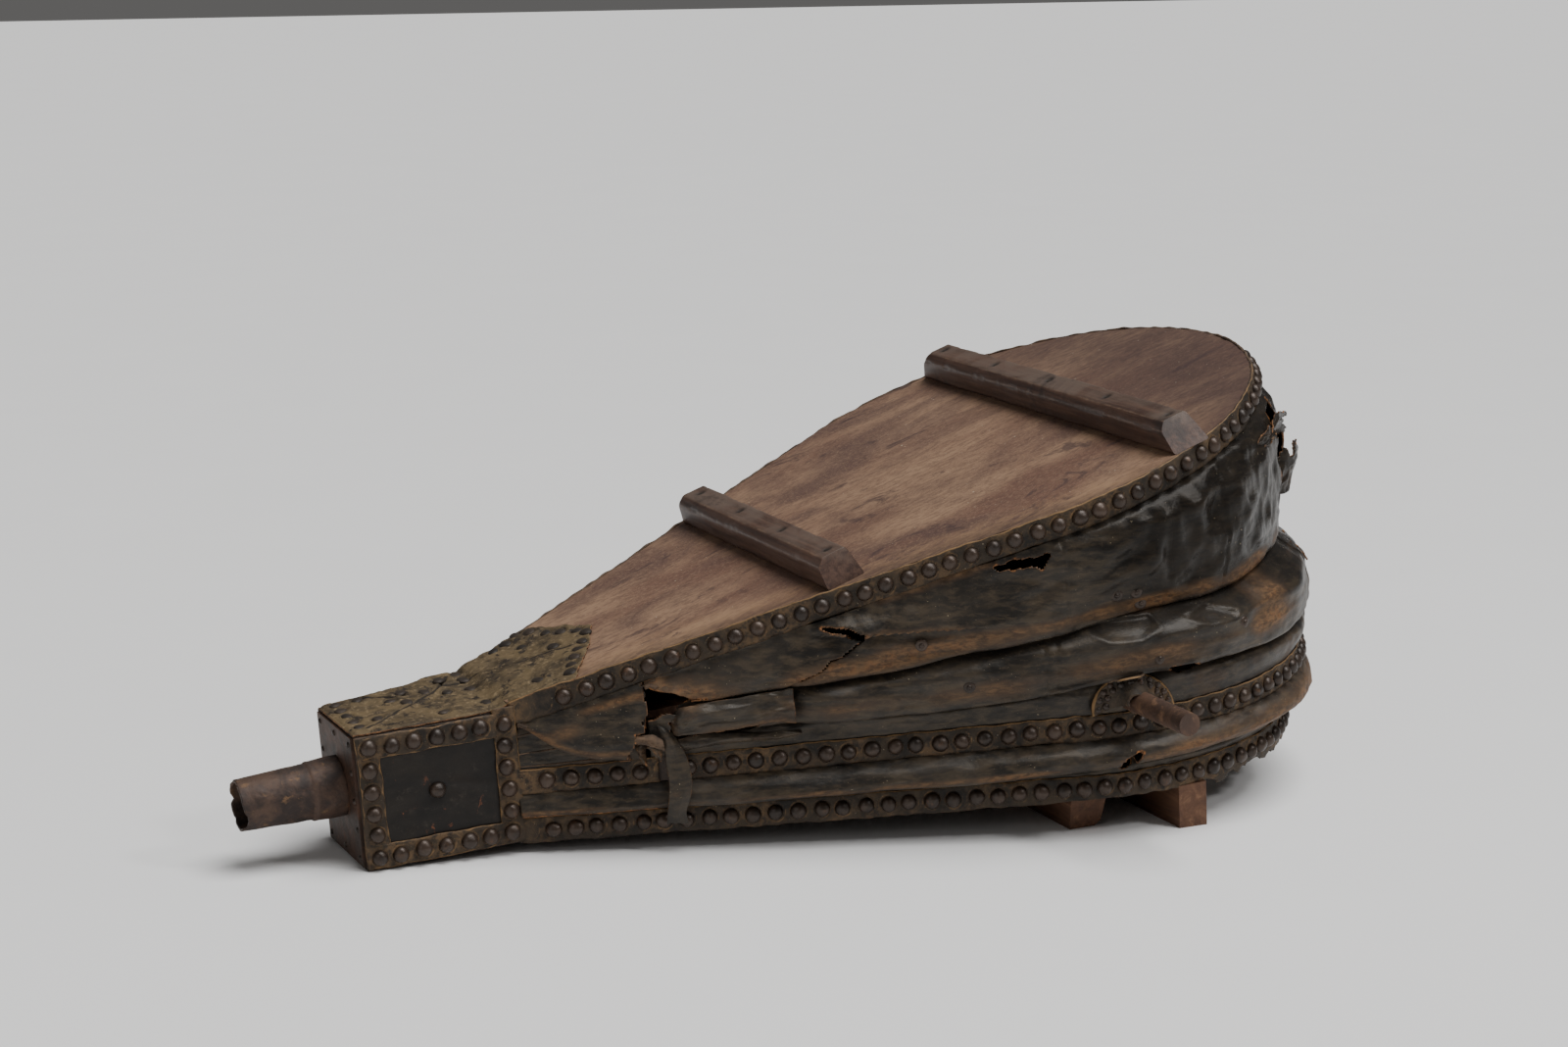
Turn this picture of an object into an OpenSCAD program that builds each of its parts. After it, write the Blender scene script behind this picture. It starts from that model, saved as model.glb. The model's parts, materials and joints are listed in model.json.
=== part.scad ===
// Great forge bellows: a pear-shaped double bellows for a blacksmith's hearth.
// Three boards meet at a wooden head block. The middle board is fixed to the block and
// carries the trunnion bar. The top and bottom boards hinge on leather at the block.
//
// Everything is drawn in a bench frame: x runs from the front of the head block to the
// round end, y to the far side, and z up from the underside of the block. row() then tips
// the whole object nose down, as it rests on the front edge of its block and on the two
// battens under its bottom board. The floor is z = 0 of the row frame.

/* [Boards] */
// Length of the top board, from the head block to its round end
top_length = 1373; // [1340:1:1400]
// Radius of the top board's round end, half of its greatest width
top_radius = 424; // [410:1:426]
// Length of the middle board behind the head block
middle_length = 1400; // [1380:1:1430]
// Radius of the middle board's round end
middle_radius = 426; // [415:1:440]
// Length of the bottom board
bottom_length = 1363; // [1330:1:1390]
// Radius of the bottom board's round end
bottom_radius = 417; // [400:1:426]
// Width of all three boards where they meet the head block
neck_width = 204; // [190:1:206]
// Thickness of all three boards
board_t = 38; // [36:1:40]

/* [Head block] */
// Length of the head block
head_length = 235; // [225:1:250]
// Height of the wooden head block
head_height = 212; // [208:1:214]
// Width of the head block at the nozzle end
head_front_width = 176; // [170:1:190]
// Radius of the wind passage bored through the block
passage_r = 30; // [24:1:31]
// Height of the nozzle's axis above the underside of the block
nozzle_z = 113; // [110:1:118]

/* [Nozzle] */
// Length of the nozzle ahead of the nose plate
nozzle_length = 158; // [120:1:200]
// Outer radius of the nozzle at its mouth
nozzle_mouth_r = 35; // [33:0.5:38]
// Outer radius of the nozzle at its root
nozzle_root_r = 41; // [39:0.5:46]
// Thickness of the nozzle's iron at the mouth
nozzle_wall = 4; // [3:0.5:5]

/* [Pose at rest] */
// Angle of the whole object, nose down, on a level floor
nose_down = 4.45; // [4.3:0.05:4.6]
// Angle between the middle board and the raised top board
top_angle = 15.5; // [14.5:0.1:16.5]
// Fall of the bottom board from its hinge to its round end
bottom_fall = 1.4; // [1.2:0.1:1.6]

/* [Leather and nails] */
// Height of a nail's round head
dome_h = 9; // [7:0.5:10]
// Radius of a nail's round head
dome_r = 11.2; // [10:0.1:12]
// Thickness of the doubled leather under a row of nails
strap_t = 4; // [3:0.5:5]
// Thickness of the leather of the two chambers
leather_t = 4; // [3:0.5:5]

/* [Trunnions] */
// Diameter of the trunnion bar's free ends
trunnion_d = 36; // [34:1:38]
// Diameter of the trunnion bar inside the bellows
trunnion_core_d = 38; // [38:0.5:39]
// Length of the trunnion bar across both sides
trunnion_length = 1170; // [1120:5:1220]
// Distance of the trunnion bar behind the head block
trunnion_s = 900; // [880:5:920]

/* [Hidden] */

// Round surfaces: plain ones and the small nail heads
$fn = 64;
nail_fn = 24;
// Clearance between pieces of different bodies, and an overshoot for cuts
gap = 0.3;
cut = 1;

// Places of the boards in the bench frame
neck_half = neck_width / 2;
middle_z = 76;
middle_top = middle_z + board_t;
hinge_x = head_length + 2;
top_hinge_z = 222.5;
bottom_hinge_z = -1;

// The floor-worn front edge of the block is this much lower than a sharp one would be
worn_edge = 0.5;
// Half of the distance between the nozzle's mouth and the round end of the bottom board
row_shift = 732;

// Each board's edge is drawn with one flat for each nail: straight sides, then the round end
side_n = 25;
end_n = 49;
edge_n = 2 * side_n + end_n;

iron = "#4a3b33";
black_leather = "#241f1c";
worn_leather = "#6b4a2e";
board_wood = "#7d5f50";
dark_wood = "#4c362c";
raw_wood = "#8a5a3c";

// ---------------------------------------------------------------- frames

// From the bench frame to the row frame
module row() {
    translate([-row_shift, 0, -worn_edge])
        rotate([0, -nose_down, 0])
            children();
}

// Frame of the top board: its upper face is z = 0 and s runs from the hinge line
module on_top_board() {
    row()
        translate([hinge_x, 0, top_hinge_z])
            rotate([0, -top_angle, 0])
                children();
}

// Frame of the middle board: its underside is z = 0
module on_middle_board() {
    row()
        translate([head_length, 0, middle_z])
            children();
}

// Frame of the bottom board: its underside is z = 0
module on_bottom_board() {
    row()
        translate([hinge_x, 0, bottom_hinge_z])
            rotate([0, bottom_fall, 0])
                children();
}

// Everything below the floor
module below_floor() {
    reach = 3000;
    translate([-reach, -reach, -reach])
        cube([2 * reach, 2 * reach, reach]);
}

module both_sides() {
    children();
    mirror([0, 1, 0])
        children();
}

// ---------------------------------------------------------------- board edges

// Angle at which a straight side runs into the round end of radius r on a board of length l
function tangent_angle(l, r) =
    atan2(neck_half, r - l) - acos(r / norm([l - r, neck_half]));

// Point k along a board's edge, pushed out by off: 0 is the near front corner, edge_n the far one
function edge_point(k, l, r, off = 0) =
    let (a = tangent_angle(l, r), c = [l - r, 0])
    k <= side_n
        ? let (front = [0, -neck_half], out = [cos(a), -sin(a)])
            front + (c + r * out - front) * k / side_n + off * out
    : k < side_n + end_n
        ? let (b = (2 * (k - side_n) / end_n - 1) * a)
            c + (r + off) * [cos(b), sin(b)]
    : let (p = edge_point(edge_n - k, l, r, off))
        [p[0], -p[1]];

// The points of edge_point that are corners, from k0 to k1
function corners(k0, k1) = concat(
    [k0],
    [for (k = [side_n : side_n + end_n]) if (k > k0 && k < k1) k],
    [k1]
);

function reversed(list) = [for (i = [len(list) - 1 : -1 : 0]) list[i]];

// Outline of a whole board
function board_outline(l, r) = [for (k = corners(0, edge_n)) edge_point(k, l, r)];

// Band of thickness t round a board's edge, from flat k0 to flat k1
module edge_band(l, r, t, h, k0, k1) {
    outer = [for (k = corners(k0, k1)) edge_point(k, l, r, t)];
    inner = [for (k = corners(k0, k1)) edge_point(k, l, r)];
    linear_extrude(h)
        polygon(concat(outer, reversed(inner)));
}

// Round nail head standing on z = 0: the cap of a ball
module dome(r, h) {
    ball_r = (r * r + h * h) / (2 * h);
    big = 2 * ball_r;
    difference() {
        translate([0, 0, h - ball_r])
            sphere(ball_r, $fn = nail_fn);
        translate([-big, -big, -2 * big])
            cube(2 * big);
    }
}

// Nails on the flats in the list ks of an edge band of thickness t, at height z
module edge_studs(l, r, t, z, ks) {
    for (k = ks) {
        a = edge_point(k, l, r, t);
        b = edge_point(k + 1, l, r, t);
        mid = (a + b) / 2;
        along = b - a;
        translate([mid[0], mid[1], z])
            rotate([0, 0, atan2(-along[0], along[1])])
                rotate([0, 90, 0])
                    dome(dome_r, dome_h);
    }
}

// ---------------------------------------------------------------- head block

head_rise = (neck_width - head_front_width) / 2;
side_angle = atan2(head_rise, head_length);
side_length = norm([head_rise, head_length]);

function head_plan(length) =
    let (w = head_front_width / 2, e = w + head_rise * length / head_length)
    [[0, -w], [length, -e], [length, e], [0, w]];

tongue_length = 60;
tongue_width = 130;
tongue_z = middle_z;
tongue_t = 30;
passage_turn = 120;
passage_rise = 40;

module head_block() {
    color(dark_wood)
        difference() {
            row()
                difference() {
                    linear_extrude(head_height)
                        polygon(head_plan(head_length));
                    // Socket of the nozzle, then the passage up to the top chamber
                    translate([-cut, 0, nozzle_z])
                        rotate([0, 90, 0])
                            cylinder(h = passage_turn + passage_r + cut, r = passage_r);
                    translate([passage_turn, 0, nozzle_z + passage_rise])
                        rotate([0, 90, 0])
                            cylinder(h = head_length, r = passage_r);
                    // Mortise of the middle board's tongue
                    translate([head_length - tongue_length, -tongue_width / 2, tongue_z])
                        cube([tongue_length + cut, tongue_width, tongue_t]);
                }
            below_floor();
        }
}

plate_t = 5;
plate_z = 6;
plate_h = 202;
plate_w = 170;
plate_nail_r = 5;
plate_nail_h = 3;
plate_nail_inset = 12;

// Iron plate on the nose of the block
module nose_plate() {
    color(iron)
        row()
            difference() {
                translate([-plate_t, -plate_w / 2, plate_z])
                    cube([plate_t, plate_w, plate_h]);
                translate([-plate_t - cut, 0, nozzle_z])
                    rotate([0, 90, 0])
                        cylinder(h = plate_t + 2 * cut, r = passage_r);
            }
}

module nose_plate_nails() {
    rows = 5;
    half_w = plate_w / 2 - plate_nail_inset;
    low = plate_z + plate_nail_inset;
    pitch = (plate_h - 2 * plate_nail_inset) / (rows - 1);
    color(iron)
        row() {
            for (y = [-half_w, half_w], i = [0 : rows - 1])
                translate([-plate_t, y, low + i * pitch])
                    rotate([0, -90, 0])
                        dome(plate_nail_r, plate_nail_h);
            for (i = [0, rows - 1])
                translate([-plate_t, 0, low + i * pitch])
                    rotate([0, -90, 0])
                        dome(plate_nail_r, plate_nail_h);
        }
}

spigot_length = 100;
spigot_r = passage_r - 0.3;
spigot_bore = 25;
mouth_bore = nozzle_mouth_r - nozzle_wall;
mouth_straight = 40;
lap_length = 48;
lap_step = 1.5;

// Conical iron nozzle with a lapped root and a spigot in the block
module nozzle() {
    root = nozzle_length;
    lap_r = nozzle_root_r + lap_step;
    at_lap = nozzle_mouth_r + (nozzle_root_r - nozzle_mouth_r) * (root - lap_length) / root;
    color(iron)
        row()
            translate([-plate_t - nozzle_length, 0, nozzle_z])
                rotate([0, 90, 0])
                    rotate_extrude()
                        polygon([
                            [mouth_bore, 0],
                            [nozzle_mouth_r, 0],
                            [at_lap, root - lap_length],
                            [at_lap + lap_step, root - lap_length],
                            [lap_r, root],
                            [spigot_r, root],
                            [spigot_r, root + spigot_length],
                            [spigot_bore, root + spigot_length],
                            [spigot_bore, root],
                            [mouth_bore, mouth_straight]
                        ]);
}

// Frame of the block's near side: x along it, -y outwards
module on_near_side() {
    row()
        translate([0, -head_front_width / 2, 0])
            rotate([0, 0, -side_angle])
                children();
}

panel_t = 3;
panel_z = 3;
panel_h = 206;
frame_w = 36;

module head_side_panels() {
    color(black_leather)
        both_sides()
            on_near_side()
                translate([0, -panel_t, panel_z])
                    cube([side_length, panel_t, panel_h]);
}

module head_side_straps() {
    color(worn_leather)
        both_sides()
            on_near_side()
                difference() {
                    translate([0, -panel_t - strap_t, panel_z])
                        cube([side_length, strap_t, panel_h]);
                    translate([frame_w, -panel_t - strap_t - cut, panel_z + frame_w])
                        cube([side_length - 2 * frame_w, strap_t + 2 * cut, panel_h - 2 * frame_w]);
                }
}

stud_row = 18;
column_n = 6;
top_row_n = 6;
rear_n = 5;

module side_stud(x, z, depth) {
    translate([x, -panel_t - depth, z])
        rotate([90, 0, 0])
            dome(dome_r, dome_h);
}

module head_side_studs() {
    low = panel_z + stud_row;
    high = panel_z + panel_h - stud_row;
    rear_x = side_length - stud_row;
    color(iron)
        both_sides()
            on_near_side() {
                for (i = [0 : column_n - 1])
                    side_stud(stud_row, low + (high - low) * i / (column_n - 1), strap_t);
                for (i = [1 : top_row_n], z = [low, high])
                    side_stud(stud_row + (rear_x - stud_row) * i / top_row_n, z, strap_t);
                for (i = [1 : rear_n - 1])
                    side_stud(rear_x, low + (high - low) * i / rear_n, strap_t);
                side_stud(side_length / 2, (low + high) / 2, 0);
            }
}

cover_t = 4;
cover_studs_h = 5;
cover_row_n = 5;

module head_top_cover() {
    color(worn_leather)
        row()
            translate([0, 0, head_height])
                linear_extrude(cover_t)
                    polygon(head_plan(head_length - 2));
}

// Rows across both ends of the cover and a cross of two diagonals between them
module head_top_studs() {
    front = 16;
    rear = head_length - 20;
    half = head_front_width / 2 - 16;
    diagonal_n = 5;
    color(iron)
        row()
            translate([0, 0, head_height + cover_t]) {
                for (x = [front, rear], i = [0 : cover_row_n - 1])
                    translate([x, half * (2 * i / (cover_row_n - 1) - 1), 0])
                        dome(dome_r, cover_studs_h);
                for (i = [1 : diagonal_n], side = [-1, 1])
                    let (f = i / (diagonal_n + 1))
                    translate([front + (rear - front) * f, side * half * (1 - 2 * f), 0])
                        dome(dome_r, cover_studs_h);
            }
}

// ---------------------------------------------------------------- middle board

valve_s = 430;
intake_s = 640;
port_length = 110;
port_width = 130;
flap_length = 140;
flap_width = 160;
flap_t = 12;
pad_t = 3;
keeper_length = 24;
keeper_gap = 8;
saddle_y = 300;
saddle_foot = 36;
saddle_width = 40;
bolt_r = 5;
bolt_clear = 0.3;

module middle_board() {
    color(dark_wood)
        on_middle_board()
            difference() {
                union() {
                    linear_extrude(board_t)
                        polygon(board_outline(middle_length, middle_radius));
                    translate([-tongue_length, -tongue_width / 2, 0])
                        cube([tongue_length + cut, tongue_width, tongue_t]);
                }
                translate([valve_s, -port_width / 2, -cut])
                    cube([port_length, port_width, board_t + 2 * cut]);
                for (y = [-saddle_y, saddle_y], x = [-saddle_foot, saddle_foot])
                    translate([trunnion_s + x, y, -cut])
                        cylinder(h = board_t + 2 * cut, r = bolt_r + bolt_clear);
            }
}

// Nailed band: a short front length on each side, a gap, then the main length round the end.
// It starts just behind the leather on the head block.
strap_start = 0.15;
front_flats = 6;
torn_flats = 1;

module middle_strap() {
    first = front_flats + torn_flats;
    color(worn_leather)
        on_middle_board() {
            both_sides()
                edge_band(middle_length, middle_radius, strap_t, board_t, strap_start, front_flats);
            edge_band(middle_length, middle_radius, strap_t, board_t, first, edge_n - first);
        }
}

function without(ks, missing) = [for (k = ks) if (len(search(k, missing)) == 0) k];

module middle_strap_studs() {
    torn = [front_flats, edge_n - 1 - front_flats];
    color(iron)
        on_middle_board()
            edge_studs(middle_length, middle_radius, strap_t, board_t / 2,
                without([1 : edge_n - 2], torn));
}

// ---------------------------------------------------------------- trunnions

trunnion_r = trunnion_core_d / 2;
saddle_t = 6;
trunnion_lift = trunnion_r + gap;
// The shoulders of the bar stand this far outside the board's straight edge
core_half = middle_radius + 14;

// Frame with its origin on the trunnion bar's axis, z up from the middle board
module at_trunnion() {
    on_middle_board()
        translate([trunnion_s, 0, board_t + trunnion_lift])
            children();
}

module trunnion_bar() {
    color(iron)
        at_trunnion()
            rotate([90, 0, 0]) {
                cylinder(h = trunnion_length, r = trunnion_d / 2, center = true);
                cylinder(h = 2 * core_half, r = trunnion_r, center = true);
            }
}

// Iron straps that hold the bar down on the middle board
module trunnion_saddles() {
    outer_r = trunnion_r + gap + saddle_t;
    foot_half = saddle_foot + 16;
    color(iron)
        at_trunnion()
            for (y = [-saddle_y, saddle_y])
                translate([0, y, 0])
                    difference() {
                        union() {
                            rotate([90, 0, 0])
                                cylinder(h = saddle_width, r = outer_r, center = true);
                            translate([-foot_half, -saddle_width / 2, -trunnion_lift])
                                cube([2 * foot_half, saddle_width, saddle_t]);
                        }
                        rotate([90, 0, 0])
                            cylinder(h = saddle_width + 2 * cut, r = trunnion_r + gap, center = true);
                        translate([-foot_half, -saddle_width, -trunnion_lift - outer_r])
                            cube([2 * foot_half, 2 * saddle_width, outer_r]);
                        translate([-trunnion_r - gap, -saddle_width, -trunnion_lift - cut])
                            cube([2 * (trunnion_r + gap), 2 * saddle_width, trunnion_lift + cut]);
                        for (x = [-saddle_foot, saddle_foot])
                            translate([x, 0, -trunnion_lift - cut])
                                cylinder(h = saddle_t + 2 * cut, r = bolt_r + bolt_clear);
                    }
}

module at_bolts() {
    on_middle_board()
        for (y = [-saddle_y, saddle_y], x = [-saddle_foot, saddle_foot])
            translate([trunnion_s + x, y, 0])
                children();
}

bolt_head_side = 16;
bolt_head_h = 7;
nut_h = 8;

module trunnion_bolts() {
    color(iron)
        at_bolts() {
            translate([-bolt_head_side / 2, -bolt_head_side / 2, board_t + saddle_t])
                cube([bolt_head_side, bolt_head_side, bolt_head_h]);
            translate([0, 0, -nut_h])
                cylinder(h = board_t + saddle_t + nut_h, r = bolt_r);
        }
}

module trunnion_nuts() {
    color(iron)
        at_bolts()
            translate([0, 0, -nut_h])
                difference() {
                    translate([-bolt_head_side / 2, -bolt_head_side / 2, 0])
                        cube([bolt_head_side, bolt_head_side, nut_h]);
                    translate([0, 0, -cut])
                        cylinder(h = nut_h + 2 * cut, r = bolt_r + bolt_clear / 2);
                }
}

gusset_width = 116;
gusset_h = 30;
gusset_t = 4;
gusset_round = gusset_width / 2;
arch_n = 24;

// Arched leather patch round the bar where it leaves the top chamber
module trunnion_gussets() {
    color(worn_leather)
        both_sides()
            at_trunnion()
                translate([0, -middle_radius, -trunnion_lift])
                    difference() {
                        rotate([90, 0, 0])
                            linear_extrude(gusset_t)
                                polygon(concat(
                                    [[gusset_round, 0]],
                                    [for (i = [0 : arch_n])
                                        let (a = 180 * i / arch_n)
                                        [gusset_round * cos(a), gusset_h + gusset_round * sin(a)]],
                                    [[-gusset_round, 0]]
                                ));
                        // The patch is slit below the bar, to pass over it
                        translate([0, cut, trunnion_lift])
                            rotate([90, 0, 0])
                                cylinder(h = gusset_t + 2 * cut, r = trunnion_r + gap);
                        translate([-trunnion_r - gap, -gusset_t - cut, -cut])
                            cube([2 * (trunnion_r + gap), gusset_t + 2 * cut, trunnion_lift + cut]);
                    }
}

tack_r = 5;
tack_h = 3;
tack_n = 8;

module trunnion_gusset_tacks() {
    tack_ring = gusset_round - 9;
    color(iron)
        both_sides()
            at_trunnion()
                translate([0, -middle_radius - gusset_t, gusset_h - trunnion_lift])
                    for (i = [0 : tack_n - 1])
                        let (a = 180 * i / (tack_n - 1))
                        translate([tack_ring * cos(a), 0, tack_ring * sin(a)])
                            rotate([90, 0, 0])
                                dome(tack_r, tack_h);
}

// ---------------------------------------------------------------- valves

// A hinged flap over a port: keeper batten, wooden flap and the leather pad under it.
// z = 0 is the face of the board that the valve lies on, s = 0 the flap's hinge line.
module valve_keeper() {
    translate([-keeper_gap - keeper_length, -flap_width / 2, 0])
        cube([keeper_length, flap_width, flap_t]);
}

module valve_flap() {
    translate([0, -flap_width / 2, pad_t + gap])
        cube([flap_length, flap_width, flap_t]);
}

module valve_pad() {
    translate([0, -flap_width / 2, gap])
        cube([flap_length, flap_width, pad_t]);
}

module at_transfer_valve() {
    on_middle_board()
        translate([valve_s - (flap_length - port_length) / 2, 0, board_t])
            children();
}

module at_intake_valve() {
    on_bottom_board()
        translate([intake_s - (flap_length - port_length) / 2, 0, board_t])
            children();
}

module transfer_valve_keeper() {
    color(raw_wood)
        at_transfer_valve()
            valve_keeper();
}

module transfer_valve_flap() {
    color(raw_wood)
        at_transfer_valve()
            valve_flap();
}

module transfer_valve_leather() {
    color(worn_leather)
        at_transfer_valve()
            valve_pad();
}

module intake_valve_keeper() {
    color(raw_wood)
        at_intake_valve()
            valve_keeper();
}

module intake_valve_flap() {
    color(raw_wood)
        at_intake_valve()
            valve_flap();
}

module intake_valve_leather() {
    color(worn_leather)
        at_intake_valve()
            valve_pad();
}

// ---------------------------------------------------------------- chamber leather

// Bench points of edge point k, pushed out by off, at height z of each board's own frame
function middle_point(k, z, off) =
    let (p = edge_point(k, middle_length, middle_radius, off))
    [head_length + p[0], p[1], middle_z + z];

function top_point(k, z, off) =
    let (p = edge_point(k, top_length, top_radius, off))
    [
        hinge_x + p[0] * cos(top_angle) - z * sin(top_angle),
        p[1],
        top_hinge_z + p[0] * sin(top_angle) + z * cos(top_angle)
    ];

function bottom_point(k, z, off) =
    let (p = edge_point(k, bottom_length, bottom_radius, off))
    [
        hinge_x + p[0] * cos(bottom_fall) + z * sin(bottom_fall),
        p[1],
        bottom_hinge_z - p[0] * sin(bottom_fall) + z * cos(bottom_fall)
    ];

// Height as a share of the chamber, and bulge in mm, from the lower board to the upper one.
// The flat stretches pushed in are the creases, where the hoops hold the leather.
crease_half = 0.035;
lower_crease = 0.17;
upper_crease = 0.46;
crease_in = 26;
tuck = 1;
upper_profile = [
    [0, -tuck], [0.05, 14], [0.1, 12], [lower_crease - crease_half, -crease_in],
    [lower_crease + crease_half, -crease_in], [0.25, 26], [0.32, 24], [0.38, 10],
    [upper_crease - crease_half, -crease_in], [upper_crease + crease_half, -crease_in],
    [0.56, 30], [0.66, 28], [0.82, 10], [1, -tuck]
];
lower_profile = [[0, -tuck], [0.25, 18], [0.5, 28], [0.75, 18], [1, -tuck]];

// A bulge is full size once the chamber is this high, and smaller towards the head block
full_height = 250;

function bulge(o, height) = abs(o) > tuck ? o * min(1, height / full_height) : o;

// Edge points where the leather walls have their rows, clear of the head block at both ends
leather_start = 0.2;
leather_ks = concat([leather_start], [for (k = [1 : edge_n - 1]) k], [edge_n - leather_start]);

// The leather stops above the trunnion bar, where the gusset closes it
notch_reach = gusset_width / 2 + 34;
notch_h = gusset_h + gusset_round + 4;

function notch(k) =
    let (p = edge_point(k, middle_length, middle_radius), d = abs(p[0] - trunnion_s))
    d < notch_reach ? notch_h : 0;

function upper_leather_point(k, f, o, inwards) =
    let (
        height = top_point(k, -board_t, 0)[2] - middle_top,
        off = bulge(o, height) - inwards,
        low = middle_point(k, board_t + gap, off),
        high = top_point(k, -board_t - gap, off),
        start = notch(k) / (high[2] - low[2])
    )
    low + (high - low) * (start + (1 - start) * f);

function lower_leather_point(k, f, o, inwards) =
    let (
        height = middle_z - bottom_point(k, board_t, 0)[2],
        off = bulge(o, height * 4) - inwards,
        low = bottom_point(k, board_t + gap, off),
        high = middle_point(k, -gap, off)
    )
    low + (high - low) * f;

// Closed wall from a grid of outer points and a grid of inner points, rows x columns
module wall(outer, inner) {
    rows = len(outer);
    cols = len(outer[0]);
    points = concat([for (r = outer) each r], [for (r = inner) each r]);
    inside = rows * cols;
    faces = concat(
        [for (i = [0 : rows - 2], j = [0 : cols - 2]) each let (a = i * cols + j)
            [[a, a + cols, a + 1], [a + 1, a + cols, a + cols + 1]]],
        [for (i = [0 : rows - 2], j = [0 : cols - 2]) each let (a = inside + i * cols + j)
            [[a, a + 1, a + cols], [a + 1, a + cols + 1, a + cols]]],
        [for (i = [0 : rows - 2], j = [0, cols - 1]) each
            let (a = i * cols + j, b = inside + a)
            j == 0 ? [[a, b, a + cols], [a + cols, b, b + cols]]
                : [[a, a + cols, b], [a + cols, b + cols, b]]],
        [for (j = [0 : cols - 2], i = [0, rows - 1]) each
            let (a = i * cols + j, b = inside + a)
            i == 0 ? [[a, a + 1, b], [a + 1, b + 1, b]]
                : [[a, b, a + 1], [a + 1, b, b + 1]]]
    );
    polyhedron(points, faces);
}

module upper_leather() {
    color(black_leather)
        row()
            wall(
                [for (k = leather_ks) [for (p = upper_profile)
                    upper_leather_point(k, p[0], p[1], 0)]],
                [for (k = leather_ks) [for (p = upper_profile)
                    upper_leather_point(k, p[0], p[1], leather_t)]]
            );
}

module lower_leather() {
    color(black_leather)
        row()
            wall(
                [for (k = leather_ks) [for (p = lower_profile)
                    lower_leather_point(k, p[0], p[1], 0)]],
                [for (k = leather_ks) [for (p = lower_profile)
                    lower_leather_point(k, p[0], p[1], leather_t)]]
            );
}

// Leather nailed under the block for the bottom board's hinge
module bottom_hinge_leather() {
    color(worn_leather)
        row()
            translate([head_length - 80, -neck_half + 20, -panel_t])
                cube([78, neck_width - 40, panel_t]);
}

// ---------------------------------------------------------------- hoops

hoop_t = 12;
hoop_w = 36;
hoop_in = crease_in + leather_t + 1.5;

// Bench point on a hoop's edge: share f of the way up the chamber, pushed in by inwards
function crease_point(k, f, inwards) =
    let (low = middle_point(k, board_t, -inwards), high = top_point(k, -board_t, -inwards))
    low + (high - low) * f;

function hoop_pivot(f) = crease_point(0, f, 0);

function hoop_angle(f) =
    let (d = crease_point(edge_n / 2, f, 0) - hoop_pivot(f))
    atan2(d[2], d[0]);

// The same point in the hoop's own plane
function hoop_point(k, f, inwards) =
    let (p = crease_point(k, f, inwards) - hoop_pivot(f), a = hoop_angle(f))
    [p[0] * cos(a) + p[2] * sin(a), p[1]];

module on_hoop(f) {
    pivot = hoop_pivot(f);
    row()
        translate([pivot[0], 0, pivot[2]])
            rotate([0, -hoop_angle(f), 0])
                children();
}

// Flat ash rib, open towards the head block
module hoop(f) {
    pivot_y = hoop_pivot(f)[1];
    ks = corners(0, edge_n);
    outer = [for (k = ks) hoop_point(k, f, hoop_in) + [0, pivot_y]];
    inner = [for (k = ks) hoop_point(k, f, hoop_in + hoop_w) + [0, pivot_y]];
    front = 12;
    on_hoop(f)
        translate([0, 0, -hoop_t / 2])
            difference() {
                linear_extrude(hoop_t)
                    polygon(concat(outer, reversed(inner)));
                translate([-2 * front, -neck_width, -cut])
                    cube([3 * front, 2 * neck_width, hoop_t + 2 * cut]);
            }
}

hoop_nail_step = 5;
hoop_nail_r = 6;
hoop_nail_h = 2.5;
hoop_nail_lift = 1.8;

// Round nails that fix the leather to a hoop from outside, seated clear of its slope
module hoop_nails(f) {
    pivot_y = hoop_pivot(f)[1];
    first = side_n + 7;
    off = crease_in - hoop_nail_lift;
    on_hoop(f)
        for (k = [first : hoop_nail_step : edge_n - first]) {
            a = hoop_point(k, f, off) + [0, pivot_y];
            b = hoop_point(k + 1, f, off) + [0, pivot_y];
            mid = (a + b) / 2;
            along = b - a;
            translate([mid[0], mid[1], 0])
                rotate([0, 0, atan2(-along[0], along[1])])
                    rotate([0, 90, 0])
                        dome(hoop_nail_r, hoop_nail_h);
        }
}

module hoop_upper() {
    color(raw_wood)
        hoop(upper_crease);
}

module hoop_upper_nails() {
    color(iron)
        hoop_nails(upper_crease);
}

module hoop_lower() {
    color(raw_wood)
        hoop(lower_crease);
}

module hoop_lower_nails() {
    color(iron)
        hoop_nails(lower_crease);
}

// ---------------------------------------------------------------- top board

batten_h = 48;
batten_base = 65;
batten_chamfer = 12;
front_batten_s = 482;
rear_batten_s = 1036;

module top_board() {
    color(board_wood)
        on_top_board()
            translate([0, 0, -board_t])
                linear_extrude(board_t)
                    polygon(board_outline(top_length, top_radius));
}

module top_strap() {
    color(worn_leather)
        on_top_board()
            translate([0, 0, -board_t])
                edge_band(top_length, top_radius, strap_t, board_t, 0, edge_n);
}

// The first nail of the near side is missing
module top_strap_studs() {
    color(iron)
        on_top_board()
            edge_studs(top_length, top_radius, strap_t, -board_t / 2, [2 : edge_n - 2]);
}

// Cross batten with chamfered long edges: half_length at the base, its ends sloping in by slope
module batten(half_length, slope, base, h) {
    chamfer = batten_chamfer;
    big = 4 * h;
    lean = atan2(slope, h);
    difference() {
        translate([0, half_length, 0])
            rotate([90, 0, 0])
                linear_extrude(2 * half_length)
                    polygon([
                        [0, 0], [0, h - chamfer], [chamfer, h],
                        [base - chamfer, h], [base, 0]
                    ]);
        both_sides()
            translate([-cut, half_length, 0])
                rotate([lean, 0, 0])
                    translate([0, 0, -h])
                        cube([base + 2 * cut, big, big]);
    }
}

front_batten_half = 278;
rear_batten_half = 412;
front_batten_slope = 12;
rear_batten_slope = 28;
sink_r = 9;
sink_depth = 4;

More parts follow.
